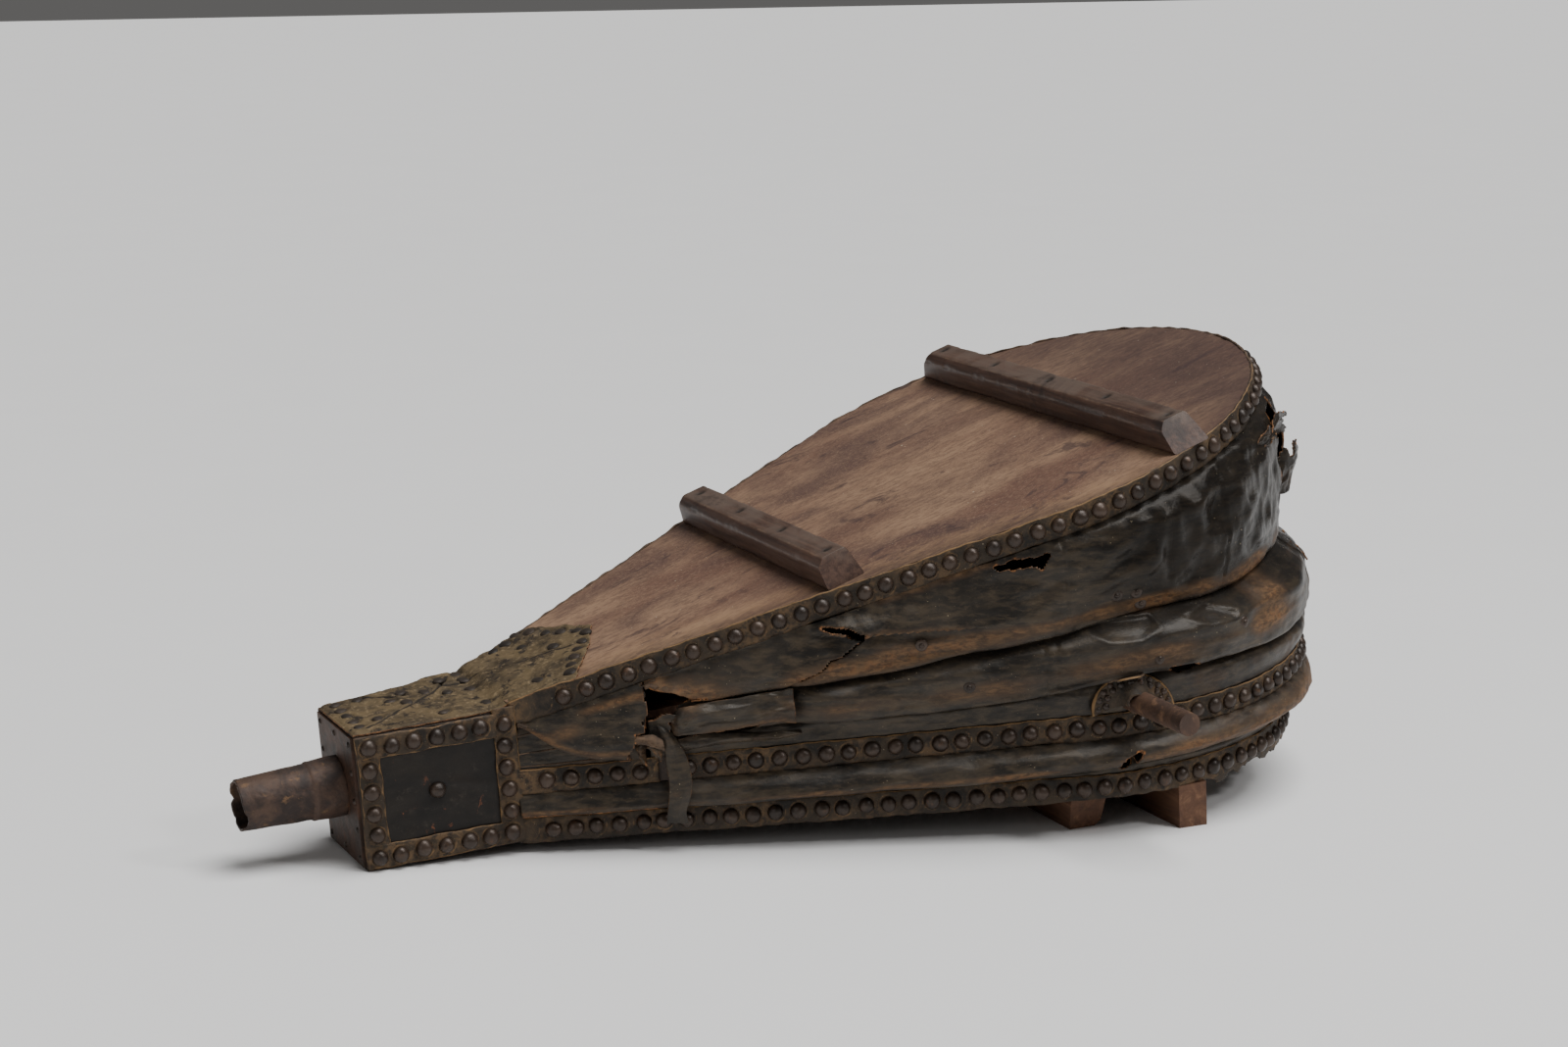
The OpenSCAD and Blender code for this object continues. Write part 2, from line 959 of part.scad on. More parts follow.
function nail_rows(n, reach) = [for (i = [0 : n - 1]) reach * (2 * i / (n - 1) - 1)];

front_batten_nails = nail_rows(4, 240);
rear_batten_nails = nail_rows(5, 366);
batten_nail_x = batten_base / 2;

module sunk(ys, h) {
    for (y = ys)
        translate([batten_nail_x, y, h - sink_depth])
            cylinder(h = sink_depth + cut, r = sink_r);
}

module top_batten_front() {
    color(dark_wood)
        on_top_board()
            translate([front_batten_s, 0, 0])
                difference() {
                    batten(front_batten_half, front_batten_slope, batten_base, batten_h);
                    sunk(front_batten_nails, batten_h);
                }
}

module top_batten_rear() {
    color(dark_wood)
        on_top_board()
            translate([rear_batten_s, 0, 0])
                difference() {
                    batten(rear_batten_half, rear_batten_slope, batten_base, batten_h);
                    sunk(rear_batten_nails, batten_h);
                }
}

batten_nail_r = 7;
batten_nail_h = 3;

module batten_nail_heads(s, ys) {
    for (y = ys)
        translate([s + batten_nail_x, y, batten_h - sink_depth])
            dome(batten_nail_r, batten_nail_h);
}

module top_batten_nails() {
    color(iron)
        on_top_board() {
            batten_nail_heads(front_batten_s, front_batten_nails);
            batten_nail_heads(rear_batten_s, rear_batten_nails);
        }
}

hinge_cover_s = 4;
hinge_corner_s = 80;
hinge_tip_s = 190;
hinge_inset = 2;
hinge_row_n = 5;

// Half of the top board's width at distance s behind its hinge, on the straight sides
function top_half_width(s) = neck_half - s / tan(tangent_angle(top_length, top_radius));

// Leather of the top board's hinge, a wide V nailed over the front of the board
module top_hinge_leather() {
    front = top_half_width(hinge_cover_s) - hinge_inset;
    corner = top_half_width(hinge_corner_s) - hinge_inset;
    color(worn_leather)
        on_top_board()
            linear_extrude(cover_t)
                polygon([
                    [hinge_cover_s, -front], [hinge_corner_s, -corner], [hinge_tip_s, 0],
                    [hinge_corner_s, corner], [hinge_cover_s, front]
                ]);
}

module top_hinge_studs() {
    tip = hinge_tip_s - 16;
    corner_s = hinge_corner_s + 4;
    corner_y = top_half_width(hinge_corner_s) - 16;
    color(iron)
        on_top_board()
            translate([0, 0, cover_t]) {
                translate([tip, 0, 0])
                    dome(dome_r, cover_studs_h);
                for (i = [0 : hinge_row_n - 1], side = [-1, 1])
                    let (f = i / hinge_row_n)
                    translate([corner_s + (tip - corner_s) * f, side * corner_y * (1 - f), 0])
                        dome(dome_r, cover_studs_h);
            }
}

// ---------------------------------------------------------------- bottom board

module bottom_board() {
    color(dark_wood)
        on_bottom_board()
            difference() {
                linear_extrude(board_t)
                    polygon(board_outline(bottom_length, bottom_radius));
                translate([intake_s, -port_width / 2, -cut])
                    cube([port_length, port_width, board_t + 2 * cut]);
            }
}

module bottom_strap() {
    color(worn_leather)
        on_bottom_board()
            edge_band(bottom_length, bottom_radius, strap_t, board_t, 0, edge_n);
}

module bottom_strap_studs() {
    color(iron)
        on_bottom_board()
            edge_studs(bottom_length, bottom_radius, strap_t, board_t / 2, [1 : edge_n - 2]);
}

// The battens under the bottom board are cut level with the floor, as worn feet
foot_front_s = 806;
foot_front_deep = 66;
foot_front_half = 380;
foot_front_slope = 30;
foot_rear_s = 976;
foot_rear_deep = 90;
foot_rear_half = 420;
foot_rear_w = 50;

module bottom_batten_front() {
    color(raw_wood)
        difference() {
            on_bottom_board()
                translate([foot_front_s + batten_base, 0, 0])
                    rotate([0, 180, 0])
                        batten(foot_front_half, foot_front_slope, batten_base, foot_front_deep);
            below_floor();
        }
}

module bottom_batten_rear() {
    color(raw_wood)
        difference() {
            on_bottom_board()
                translate([foot_rear_s, -foot_rear_half, -foot_rear_deep])
                    cube([foot_rear_w, 2 * foot_rear_half, foot_rear_deep]);
            below_floor();
        }
}

foot_nail_lift = 3;

// Nails through the bottom board into its battens, seen from inside the lower chamber
module bottom_batten_nails() {
    color(iron)
        on_bottom_board()
            translate([0, 0, board_t])
                for (s = [foot_front_s + batten_base / 2, foot_rear_s + foot_rear_w / 2],
                    y = nail_rows(4, 300))
                    translate([s, y, 0])
                        dome(batten_nail_r, foot_nail_lift);
}

// ---------------------------------------------------------------- assembly

head_block();
nose_plate();
nose_plate_nails();
nozzle();
head_side_panels();
head_side_straps();
head_side_studs();
head_top_cover();
head_top_studs();
middle_board();
middle_strap();
middle_strap_studs();
trunnion_bar();
trunnion_saddles();
trunnion_bolts();
trunnion_nuts();
trunnion_gussets();
trunnion_gusset_tacks();
transfer_valve_keeper();
transfer_valve_flap();
transfer_valve_leather();
upper_leather();
lower_leather();
bottom_hinge_leather();
top_board();
top_batten_front();
top_batten_rear();
top_batten_nails();
top_strap();
top_strap_studs();
top_hinge_leather();
top_hinge_studs();
hoop_upper();
hoop_upper_nails();
hoop_lower();
hoop_lower_nails();
bottom_board();
bottom_batten_front();
bottom_batten_rear();
bottom_batten_nails();
bottom_strap();
bottom_strap_studs();
intake_valve_keeper();
intake_valve_flap();
intake_valve_leather();
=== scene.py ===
import json
import math
from contextlib import contextmanager

import bmesh
import bpy
import numpy as np
from mathutils import Matrix, Vector


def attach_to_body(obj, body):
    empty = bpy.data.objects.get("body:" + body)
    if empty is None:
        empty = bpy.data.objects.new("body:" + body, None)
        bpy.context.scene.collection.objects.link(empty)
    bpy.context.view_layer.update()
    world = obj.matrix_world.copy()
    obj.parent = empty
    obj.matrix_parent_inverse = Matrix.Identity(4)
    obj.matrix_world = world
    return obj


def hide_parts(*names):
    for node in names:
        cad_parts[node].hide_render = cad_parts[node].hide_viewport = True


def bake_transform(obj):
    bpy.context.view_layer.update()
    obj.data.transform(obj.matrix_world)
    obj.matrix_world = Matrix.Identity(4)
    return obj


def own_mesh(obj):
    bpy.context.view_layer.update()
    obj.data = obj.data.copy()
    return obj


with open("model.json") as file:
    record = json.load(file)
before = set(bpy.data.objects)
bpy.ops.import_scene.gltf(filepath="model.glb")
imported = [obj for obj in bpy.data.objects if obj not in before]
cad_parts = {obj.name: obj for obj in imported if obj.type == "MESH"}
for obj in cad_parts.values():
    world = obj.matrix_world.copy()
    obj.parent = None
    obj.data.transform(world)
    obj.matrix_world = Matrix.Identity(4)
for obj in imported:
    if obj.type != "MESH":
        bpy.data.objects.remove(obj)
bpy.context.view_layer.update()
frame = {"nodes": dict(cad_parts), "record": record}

# ------------------------------------------------------------------ driving dimensions, in mm
# The bench frame: x from the front of the head block to the rear, y to the far side, z up.
# A board is (length, radius of its round end). Edge points k run from its near front corner
# round the rear to its far front corner: SIDE_N along a side, END_N round the end, about
# EDGE_STEP apart.
HEAD_LENGTH, HEAD_HEIGHT, HEAD_FRONT_WIDTH = 235.0, 212.0, 176.0
NECK_HALF = 102.0
BOARD_T = 38.0
TOP_BOARD = (1373.0, 424.0)
MIDDLE_BOARD = (1400.0, 426.0)
BOTTOM_BOARD = (1363.0, 417.0)
HINGE_X, TOP_HINGE_Z, BOTTOM_HINGE_Z, MIDDLE_Z = 237.0, 222.5, -1.0, 76.0
TOP_ANGLE, BOTTOM_FALL = math.radians(15.5), math.radians(1.4)
ROW_SHIFT, WORN_EDGE = 732.0, 0.5
SIDE_N, END_N = 25, 49
EDGE_N = 2 * SIDE_N + END_N
EDGE_STEP = 36.0
STRAP_T, PANEL_T, COVER_T = 4.0, 3.0, 4.0
DOME_R, DOME_H = 12.8, 10.8
TRUNNION_S = 900.0
MIDDLE_TOP = MIDDLE_Z + BOARD_T

mount = {m["name"]: m for m in frame["record"]["mounts"]}
NOSE_DOWN = math.asin(-mount["nozzle_mouth"]["axis"][2])


# ------------------------------------------------------------------ frames and board edges
def to_row(p):
    """Bench points in mm, shape (..., 3), to the row frame in metres."""
    x, y, z = p[..., 0], p[..., 1], p[..., 2]
    c, s = math.cos(NOSE_DOWN), math.sin(NOSE_DOWN)
    return np.stack([x * c - z * s - ROW_SHIFT, y, x * s + z * c - WORN_EDGE], -1) / 1000


def row_point(x, y, z):
    return Vector(to_row(np.array([x, y, z], float)))


def on_top_board(s, y, z):
    c, n = math.cos(TOP_ANGLE), math.sin(TOP_ANGLE)
    return np.stack([HINGE_X + s * c - z * n, y + 0 * s, TOP_HINGE_Z + s * n + z * c], -1)


def on_middle_board(s, y, z):
    return np.stack([HEAD_LENGTH + s, y + 0 * s, MIDDLE_Z + z + 0 * s], -1)


def on_bottom_board(s, y, z):
    c, n = math.cos(BOTTOM_FALL), math.sin(BOTTOM_FALL)
    return np.stack([HINGE_X + s * c + z * n, y + 0 * s, BOTTOM_HINGE_Z - s * n + z * c], -1)


def tangent_angle(board):
    length, r = board
    return math.atan2(NECK_HALF, r - length) - math.acos(r / math.hypot(length - r, NECK_HALF))


def edge(k, board, off=0.0):
    """Point k along a board's edge, pushed out by off, in the board's own plane."""
    length, r = board
    k = np.asarray(k, float)
    off = np.asarray(off, float) + 0 * k
    half = np.where(k > EDGE_N / 2, EDGE_N - k, k)
    a = tangent_angle(board)
    centre = length - r
    out = np.array([math.cos(a), -math.sin(a)])
    reach = np.array([centre + r * out[0], r * out[1] + NECK_HALF])
    t = half / SIDE_N
    b = (2 * (half - SIDE_N) / END_N - 1) * a
    straight = half <= SIDE_N
    x = np.where(straight, reach[0] * t + off * out[0], centre + (r + off) * np.cos(b))
    y = np.where(straight, -NECK_HALF + reach[1] * t + off * out[1], (r + off) * np.sin(b))
    return x, np.where(k > EDGE_N / 2, -y, y)


def smooth(t):
    t = np.clip(t, 0, 1)
    return t * t * (3 - 2 * t)


def bell(x, width):
    return np.exp(-((x / width) ** 2))


# Smooth noise on a lattice, the same each run
LATTICE = 128


def lattice_noise(x, y, seed):
    """Noise from -1 to 1 at x, y, one lattice cell a unit."""
    grid = np.random.RandomState(seed).uniform(-1, 1, (LATTICE, LATTICE))
    x, y = np.broadcast_arrays(np.asarray(x, float), np.asarray(y, float))
    i, j = np.floor(x).astype(int), np.floor(y).astype(int)
    u, v = smooth(x - i), smooth(y - j)
    g = lambda a, b: grid[a % LATTICE, b % LATTICE]
    low = g(i, j) * (1 - u) + g(i + 1, j) * u
    high = g(i, j + 1) * (1 - u) + g(i + 1, j + 1) * u
    return low * (1 - v) + high * v


def noise(x, y, seed):
    """Three layers of lattice noise, each twice as fine and half as strong as the last."""
    return sum(0.5**n * lattice_noise(x * 2**n, y * 2**n, seed + n) for n in range(3))


def through(xs, ys, x):
    """Smooth curve through the points (xs, ys), which may be rows of several values, at x."""
    xs, ys = np.asarray(xs, float), np.asarray(ys, float)
    x = np.clip(np.asarray(x, float), xs[0], xs[-1])
    slopes = np.gradient(ys, xs, axis=0)
    i = np.clip(np.searchsorted(xs, x) - 1, 0, len(xs) - 2)
    h = xs[i + 1] - xs[i]
    t = (x - xs[i]) / h
    if ys.ndim > 1:
        t, h = t[..., None], h[..., None]
    t2, t3 = t * t, t * t * t
    return (
        (2 * t3 - 3 * t2 + 1) * ys[i] + (t3 - 2 * t2 + t) * h * slopes[i]
        + (-2 * t3 + 3 * t2) * ys[i + 1] + (t3 - t2) * h * slopes[i + 1]
    )


# ------------------------------------------------------------------ materials
class Shade:
    """A material and its node tree, with short calls for the nodes that repeat."""

    def __init__(self, name, stretch=(1, 1, 1), **settings):
        self.mat = bpy.data.materials.new(name)
        self.mat.use_nodes = True
        self.nodes, self.links = self.mat.node_tree.nodes, self.mat.node_tree.links
        self.bsdf = self.nodes["Principled BSDF"]
        coord = self.nodes.new("ShaderNodeTexCoord")
        self.place = self.stretched(coord.outputs["Object"], stretch)
        self.plain = coord.outputs["Object"]
        for socket, value in settings.items():
            self.bsdf.inputs[socket.replace("_", " ")].default_value = value

    def stretched(self, vector, scale):
        node = self.nodes.new("ShaderNodeMapping")
        node.inputs["Scale"].default_value = scale
        self.links.new(vector, node.inputs["Vector"])
        return node.outputs["Vector"]

    def set(self, socket, value):
        if isinstance(value, bpy.types.NodeSocket):
            self.links.new(value, socket)
        else:
            socket.default_value = value

    def noise(self, scale, detail=5.0, rough=0.55, distortion=0.0, at=None):
        node = self.nodes.new("ShaderNodeTexNoise")
        self.links.new(at or self.place, node.inputs["Vector"])
        for key, value in zip(("Scale", "Detail", "Roughness", "Distortion"), (scale, detail, rough, distortion)):
            node.inputs[key].default_value = value
        return node.outputs["Fac"]

    def cells(self, scale):
        node = self.nodes.new("ShaderNodeTexVoronoi")
        self.links.new(self.plain, node.inputs["Vector"])
        node.inputs["Scale"].default_value = scale
        return node.outputs["Distance"]

    def wall_streaks(self, scale, across, detail=6.0, rough=0.62):
        """Noise drawn out along a leather wall, from its along and up marks."""
        node = self.nodes.new("ShaderNodeCombineXYZ")
        self.links.new(self.mark("along"), node.inputs["X"])
        self.links.new(self.times(self.mark("up"), across), node.inputs["Y"])
        return self.noise(scale, detail, rough, 0.35, at=node.outputs["Vector"])

    def mark(self, name):
        node = self.nodes.new("ShaderNodeAttribute")
        node.attribute_name = name
        return node.outputs["Fac"]

    def step(self, value, low, high):
        """0 below low, 1 above high, smooth between."""
        node = self.nodes.new("ShaderNodeMapRange")
        node.interpolation_type = "SMOOTHSTEP"
        self.set(node.inputs["Value"], value)
        node.inputs["From Min"].default_value = low
        node.inputs["From Max"].default_value = high
        return node.outputs["Result"]

    def math(self, operation, a, b):
        node = self.nodes.new("ShaderNodeMath")
        node.operation = operation
        node.use_clamp = operation in ("ADD", "SUBTRACT")
        self.set(node.inputs[0], a)
        self.set(node.inputs[1], b)
        return node.outputs[0]

    def times(self, a, b):
        return self.math("MULTIPLY", a, b)

    def mix(self, share, a, b):
        node = self.nodes.new("ShaderNodeMix")
        node.data_type = "RGBA"
        self.set(node.inputs["Factor"], share)
        sockets = [s for s in node.inputs if s.type == "RGBA"]
        for socket, value in zip(sockets, (a, b)):
            self.set(socket, (*value, 1) if isinstance(value, tuple) else value)
        return [s for s in node.outputs if s.type == "RGBA"][0]

    def over(self, color, paint, *shares):
        """The color under a coat of paint that shows where every share is high."""
        total = shares[0]
        for share in shares[1:]:
            total = self.times(total, share)
        return self.mix(total, color, paint)

    def between(self, share, low, high):
        node = self.nodes.new("ShaderNodeMapRange")
        self.set(node.inputs["Value"], share)
        node.inputs["To Min"].default_value = low
        node.inputs["To Max"].default_value = high
        return node.outputs["Result"]

    def bump(self, height, mm, strength=1.0, over=None):
        node = self.nodes.new("ShaderNodeBump")
        node.inputs["Strength"].default_value = strength
        node.inputs["Distance"].default_value = mm / 1000
        self.set(node.inputs["Height"], height)
        if over is not None:
            self.links.new(over, node.inputs["Normal"])
        return node.outputs["Normal"]

    def done(self, color, roughness=None, normal=None):
        self.set(self.bsdf.inputs["Base Color"], color)
        if roughness is not None:
            self.set(self.bsdf.inputs["Roughness"], roughness)
        if normal is not None:
            self.links.new(normal, self.bsdf.inputs["Normal"])
        return self.mat


def leather_grain(s, depth, wrinkle):
    """Pores and fine creases of worn leather, as a normal."""
    pores = s.bump(s.cells(420), depth * 0.5, 0.5)
    fine = s.bump(s.noise(120, 6, 0.65, 0.6), depth, 0.8, pores)
    return s.bump(s.noise(22, 5, 0.6, 1.2), wrinkle, 0.9, fine)


def chamber_leather():
    """Black, waxed and cracked, rubbed brown and orange in streaks along its folds."""
    s = Shade("chamber_leather", IOR=1.45, Specular_Tint=(1, 0.94, 0.87, 1))
    blotch = s.noise(7, 5, 0.6, 0.4)
    fine = s.noise(85, 6, 0.7, 0.3)
    streak = s.wall_streaks(9, 5.5)
    thin = s.wall_streaks(24, 3.4, 6, 0.62)
    scratch = s.wall_streaks(60, 2.6, 7, 0.68)
    waxed = s.times(s.step(s.mark("along"), 0.8, 1.15), s.step(s.mark("up"), 0.09, 0.16))
    dry = s.math("SUBTRACT", 1.0, s.times(waxed, 0.75))
    s.set(s.bsdf.inputs["Specular IOR Level"], s.between(waxed, 0.34, 0.13))
    color = s.mix(s.step(blotch, 0.36, 0.66), (0.0112, 0.01, 0.0091), (0.034, 0.0286, 0.0236))
    color = s.over(color, (0.0062, 0.0053, 0.0048), waxed, 0.65)
    dust = s.times(s.step(thin, 0.4, 0.64), s.step(s.noise(5, 4, 0.55), 0.3, 0.56))
    color = s.over(color, (0.1, 0.073, 0.045), dust, dry, 0.42)
    rubbed = s.times(s.step(scratch, 0.5, 0.64), dry)
    color = s.over(color, (0.115, 0.083, 0.052), rubbed, 0.2)
    specks = s.step(s.noise(300, 2, 0.5), 0.73, 0.76)
    color = s.over(color, (0.42, 0.34, 0.22), specks, s.step(s.noise(12, 3), 0.46, 0.6))
    worn = s.math("ADD", s.times(s.mark("ridge"), 1.1), s.times(s.math("SUBTRACT", streak, 0.5), 1.3))
    brown = s.step(worn, 0.3, 0.85)
    ridged = s.times(brown, s.between(scratch, 0.3, 1.2))
    color = s.over(color, (0.095, 0.052, 0.027), ridged, s.between(fine, 0.4, 0.95))
    tan = s.times(s.step(worn, 0.55, 1.05), s.step(scratch, 0.4, 0.6))
    color = s.over(color, (0.2, 0.112, 0.052), tan, 0.5)
    orange = s.times(s.step(worn, 0.8, 1.2), s.step(fine, 0.42, 0.66))
    color = s.over(color, (0.25, 0.1, 0.034), orange, 0.55)
    raw = s.times(s.mark("raw"), s.between(s.noise(45, 5, 0.75), -0.2, 1.6))
    torn = s.mix(s.step(s.noise(130, 5, 0.7), 0.4, 0.6), (0.07, 0.032, 0.014), (0.32, 0.13, 0.042))
    color = s.over(color, torn, s.step(raw, 0.28, 0.7))
    rough = s.between(s.math("ADD", s.times(brown, 0.4), s.times(dry, 0.35)), 0.22, 0.74)
    fibres = s.bump(scratch, 0.35, 0.7, leather_grain(s, 0.35, 0.7))
    return s.done(color, rough, s.bump(thin, 1.0, 0.7, fibres))


def raw_leather():
    """Torn edges: tan and orange fibres."""
    s = Shade("raw_leather")
    color = s.mix(s.step(s.noise(70, 6, 0.7), 0.35, 0.65), (0.06, 0.029, 0.014), (0.26, 0.12, 0.048))
    return s.done(color, 0.85, s.bump(s.noise(260, 5, 0.7), 0.5, 1.0))


def flesh_leather():
    s = Shade("flesh_leather")
    color = s.mix(s.step(s.noise(30, 6, 0.7), 0.35, 0.7), (0.04, 0.026, 0.017), (0.135, 0.082, 0.047))
    return s.done(color, 0.9, s.bump(s.noise(160, 6, 0.7), 0.6, 1.0))


def strap_leather():
    """Doubled leather under the nails: dark, dusty, tan along its cut edges."""
    s = Shade("strap_leather", Specular_IOR_Level=0.25)
    blotch = s.noise(26, 6, 0.65, 0.5)
    color = s.mix(s.step(blotch, 0.35, 0.66), (0.014, 0.0108, 0.0083), (0.054, 0.038, 0.024))
    tan = s.times(s.step(s.noise(14, 5, 0.6), 0.42, 0.62), s.step(s.noise(85, 5, 0.7), 0.4, 0.6))
    color = s.over(color, (0.15, 0.09, 0.044), tan, 0.65)
    specks = s.step(s.noise(320, 2, 0.5), 0.73, 0.76)
    color = s.over(color, (0.4, 0.33, 0.22), specks, 0.8)
    rim = s.times(s.mark("ridge"), s.between(s.noise(30, 5, 0.75), 0.0, 1.9))
    color = s.over(color, (0.25, 0.145, 0.062), s.step(rim, 0.4, 0.9), 0.9)
    return s.done(color, s.between(blotch, 0.45, 0.78), leather_grain(s, 0.7, 1.5))


def cover_leather():
    """Dry olive-brown leather of the head's top, with dark waxed patches."""
    s = Shade("cover_leather", Specular_IOR_Level=0.25)
    blotch = s.noise(17, 6, 0.65, 0.6)
    color = s.mix(s.step(blotch, 0.36, 0.62), (0.05, 0.036, 0.021), (0.125, 0.088, 0.045))
    color = s.over(color, (0.024, 0.018, 0.013), s.step(s.noise(38, 6, 0.7, 0.4), 0.53, 0.63))
    color = s.over(color, (0.25, 0.18, 0.1), s.step(s.noise(110, 5, 0.7), 0.52, 0.68), 0.6)
    color = s.over(color, (0.024, 0.018, 0.013), s.step(s.mark("raw"), 0.35, 0.8))
    return s.done(color, s.between(blotch, 0.62, 0.88), leather_grain(s, 0.6, 1.8))


def panel_leather():
    """The head's sides: blackened, satin, with rubbed orange scuffs."""
    s = Shade("panel_leather", Specular_IOR_Level=0.25)
    blotch = s.noise(12, 5, 0.6, 0.5)
    color = s.mix(s.step(blotch, 0.35, 0.7), (0.0075, 0.006, 0.005), (0.019, 0.0145, 0.011))
    scuff = s.times(s.step(s.noise(21, 5, 0.6, 1.5), 0.62, 0.7), s.step(s.noise(130, 5, 0.7), 0.42, 0.6))
    color = s.over(color, (0.19, 0.062, 0.026), scuff)
    dust = s.step(s.noise(55, 7, 0.75), 0.55, 0.75)
    color = s.over(color, (0.085, 0.066, 0.05), dust, 0.35)
    return s.done(color, s.between(blotch, 0.36, 0.6), leather_grain(s, 0.3, 0.9))


def rusty_iron(name, dark, warm, rust, rust_from, roughness, pits):
    s = Shade(name, Metallic=0.35)
    patch = s.noise(24, 6, 0.65, 0.5)
    color = s.mix(s.step(patch, 0.36, 0.64), dark, warm)
    color = s.over(color, rust, s.step(s.noise(48, 7, 0.7, 0.3), rust_from, rust_from + 0.14))
    color = s.over(color, tuple(1.6 * c for c in warm), s.mark("tint"), 0.6)
    normal = s.bump(s.noise(190, 6, 0.7), pits, 0.9)
    normal = s.bump(s.noise(38, 5, 0.6), pits * 2, 0.8, normal)
    return s.done(color, s.between(s.noise(75, 5, 0.6), *roughness), normal)


def plank_wood(name, dark, mid, light, stain, stain_from, roughness, along):
    """Long-grained wood, streaked, stained and dry."""
    s = Shade(name, stretch=along)
    streak = s.noise(2.6, 8, 0.66, 1.1)
    fibre = s.noise(9, 8, 0.72, 0.5)
    color = s.mix(s.step(streak, 0.3, 0.52), dark, mid)
    color = s.over(color, light, s.step(streak, 0.5, 0.72))
    color = s.over(color, tuple(0.55 * c for c in mid), s.step(fibre, 0.47, 0.66), 0.42)
    blotch = s.noise(5.0, 6, 0.66, 0.8, at=s.stretched(s.plain, (0.7, 1.7, 1)))
    color = s.over(color, stain, s.step(blotch, stain_from, stain_from + 0.13), 0.75)
    specks = s.step(s.noise(46, 4, 0.6, at=s.plain), 0.69, 0.75)
    color = s.over(color, tuple(0.4 * c for c in stain), specks, 0.6)
    color = s.over(color, stain, s.mark("raw"))
    normal = s.bump(fibre, 0.5, 0.8)
    normal = s.bump(streak, 1.0, 0.6, normal)
    return s.done(color, s.between(fibre, *roughness), normal)


def near_edge_distance(s):
    """Distance in metres from the top board's straight near edge, as a shader value."""
    x, y = edge(np.array([1.0, 18.0]), TOP_BOARD)
    (x0, y0, _), (x1, y1, _) = to_row(on_top_board(x, y, 0 * x))
    slope = float((y1 - y0) / (x1 - x0))
    split = s.nodes.new("ShaderNodeSeparateXYZ")
    s.links.new(s.plain, split.inputs[0])
    wide = s.nodes.new("ShaderNodeMath")
    wide.operation = "MULTIPLY_ADD"
    s.links.new(split.outputs["X"], wide.inputs[0])
    wide.inputs[1].default_value = -slope
    s.links.new(split.outputs["Y"], wide.inputs[2])
    away = s.nodes.new("ShaderNodeMath")
    away.operation = "SUBTRACT"
    s.links.new(wide.outputs[0], away.inputs[0])
    away.inputs[1].default_value = float(y0 - slope * x0)
    return away.outputs[0]


def top_wood():
    """The top board: smoky reddish brown, finely grained, tan near its edge, with dark wax stains."""
    s = Shade("top_wood", stretch=(1, 26, 26))
    grain = s.noise(5.5, 8, 0.7, 0.25)
    hair = s.noise(17, 6, 0.75, 0.1)
    broad = s.noise(2.0, 4, 0.5, 0.4, at=s.stretched(s.plain, (0.8, 3.4, 3.4)))
    cloud = s.noise(3.4, 5, 0.6, 0.9, at=s.stretched(s.plain, (0.8, 1.5, 1)))
    color = s.mix(s.step(broad, 0.36, 0.62), (0.135, 0.068, 0.046), (0.285, 0.175, 0.108))
    color = s.over(color, (0.082, 0.045, 0.038), s.step(cloud, 0.42, 0.64), 0.8)
    color = s.over(color, (0.085, 0.045, 0.032), s.step(grain, 0.44, 0.6), 0.5)
    color = s.over(color, (0.32, 0.205, 0.13), s.step(hair, 0.5, 0.62), 0.5)
    inward = near_edge_distance(s)
    gold = s.times(s.step(inward, 0.1, 0.035), s.step(s.noise(4, 5, 0.6, 0.4), 0.3, 0.6))
    color = s.over(color, (0.33, 0.2, 0.105), gold, 0.42)
    # Darker along the near edge by the strap: dirt, and painted shade
    grime_and_painted_edge_shade = s.times(s.step(inward, 0.05, 0.012), s.between(s.noise(6, 5, 0.6, 0.4), -0.3, 1.5))
    color = s.over(color, (0.05, 0.028, 0.02), grime_and_painted_edge_shade, 0.75)
    split = s.nodes.new("ShaderNodeSeparateXYZ")
    s.links.new(s.plain, split.inputs[0])
    smoke = s.times(s.step(split.outputs["X"], 0.42, 0.66), s.between(s.noise(5, 5, 0.6, 0.5), 0.2, 1.6))
    color = s.over(color, (0.062, 0.035, 0.029), smoke, 0.75)
    stain = s.noise(7.5, 7, 0.7, 1.2, at=s.stretched(s.plain, (0.7, 1.8, 1)))
    color = s.over(color, (0.045, 0.025, 0.025), s.step(stain, 0.57, 0.66), 0.7)
    specks = s.step(s.noise(160, 2, 0.5, at=s.plain), 0.755, 0.78)
    color = s.over(color, (0.5, 0.42, 0.32), specks, 0.7)
    normal = s.bump(hair, 0.3, 0.8)
    normal = s.bump(grain, 0.7, 0.7, normal)
    return s.done(color, s.between(cloud, 0.62, 0.4), normal)


def batten_wood():
    """Dark glossy hardwood, greyed and lighter on top, partly dust and partly painted light from above, with rubbed
    corners that also carry a painted edge highlight.
    """
    s = Shade("batten_wood", stretch=(22, 1, 22))
    grain = s.noise(5, 8, 0.7, 0.3)
    blotch = s.noise(9, 6, 0.65, 0.8, at=s.stretched(s.plain, (1, 0.7, 1)))
    color = s.mix(s.step(grain, 0.36, 0.64), (0.04, 0.019, 0.013), (0.095, 0.05, 0.033))
    # Grey on the top face: dust, and painted light from above
    grey_and_painted_top_light = s.times(s.mark("top"), s.step(blotch, 0.3, 0.62))
    color = s.over(color, (0.12, 0.086, 0.066), grey_and_painted_top_light, 0.8)
    color = s.over(color, (0.02, 0.012, 0.01), s.step(blotch, 0.58, 0.7), 0.7)
    # Lighter along the top corners: rubbed wear, and a painted edge highlight
    rubbed = s.times(s.mark("ridge"), s.between(s.noise(30, 5, 0.7, at=s.plain), 0.2, 1.6))
    color = s.over(color, (0.23, 0.15, 0.1), s.step(rubbed, 0.5, 1.0), 0.8)
    color = s.over(color, (0.011, 0.008, 0.007), s.mark("raw"))
    normal = s.bump(grain, 0.6, 0.8)
    return s.done(color, s.between(blotch, 0.34, 0.58), normal)


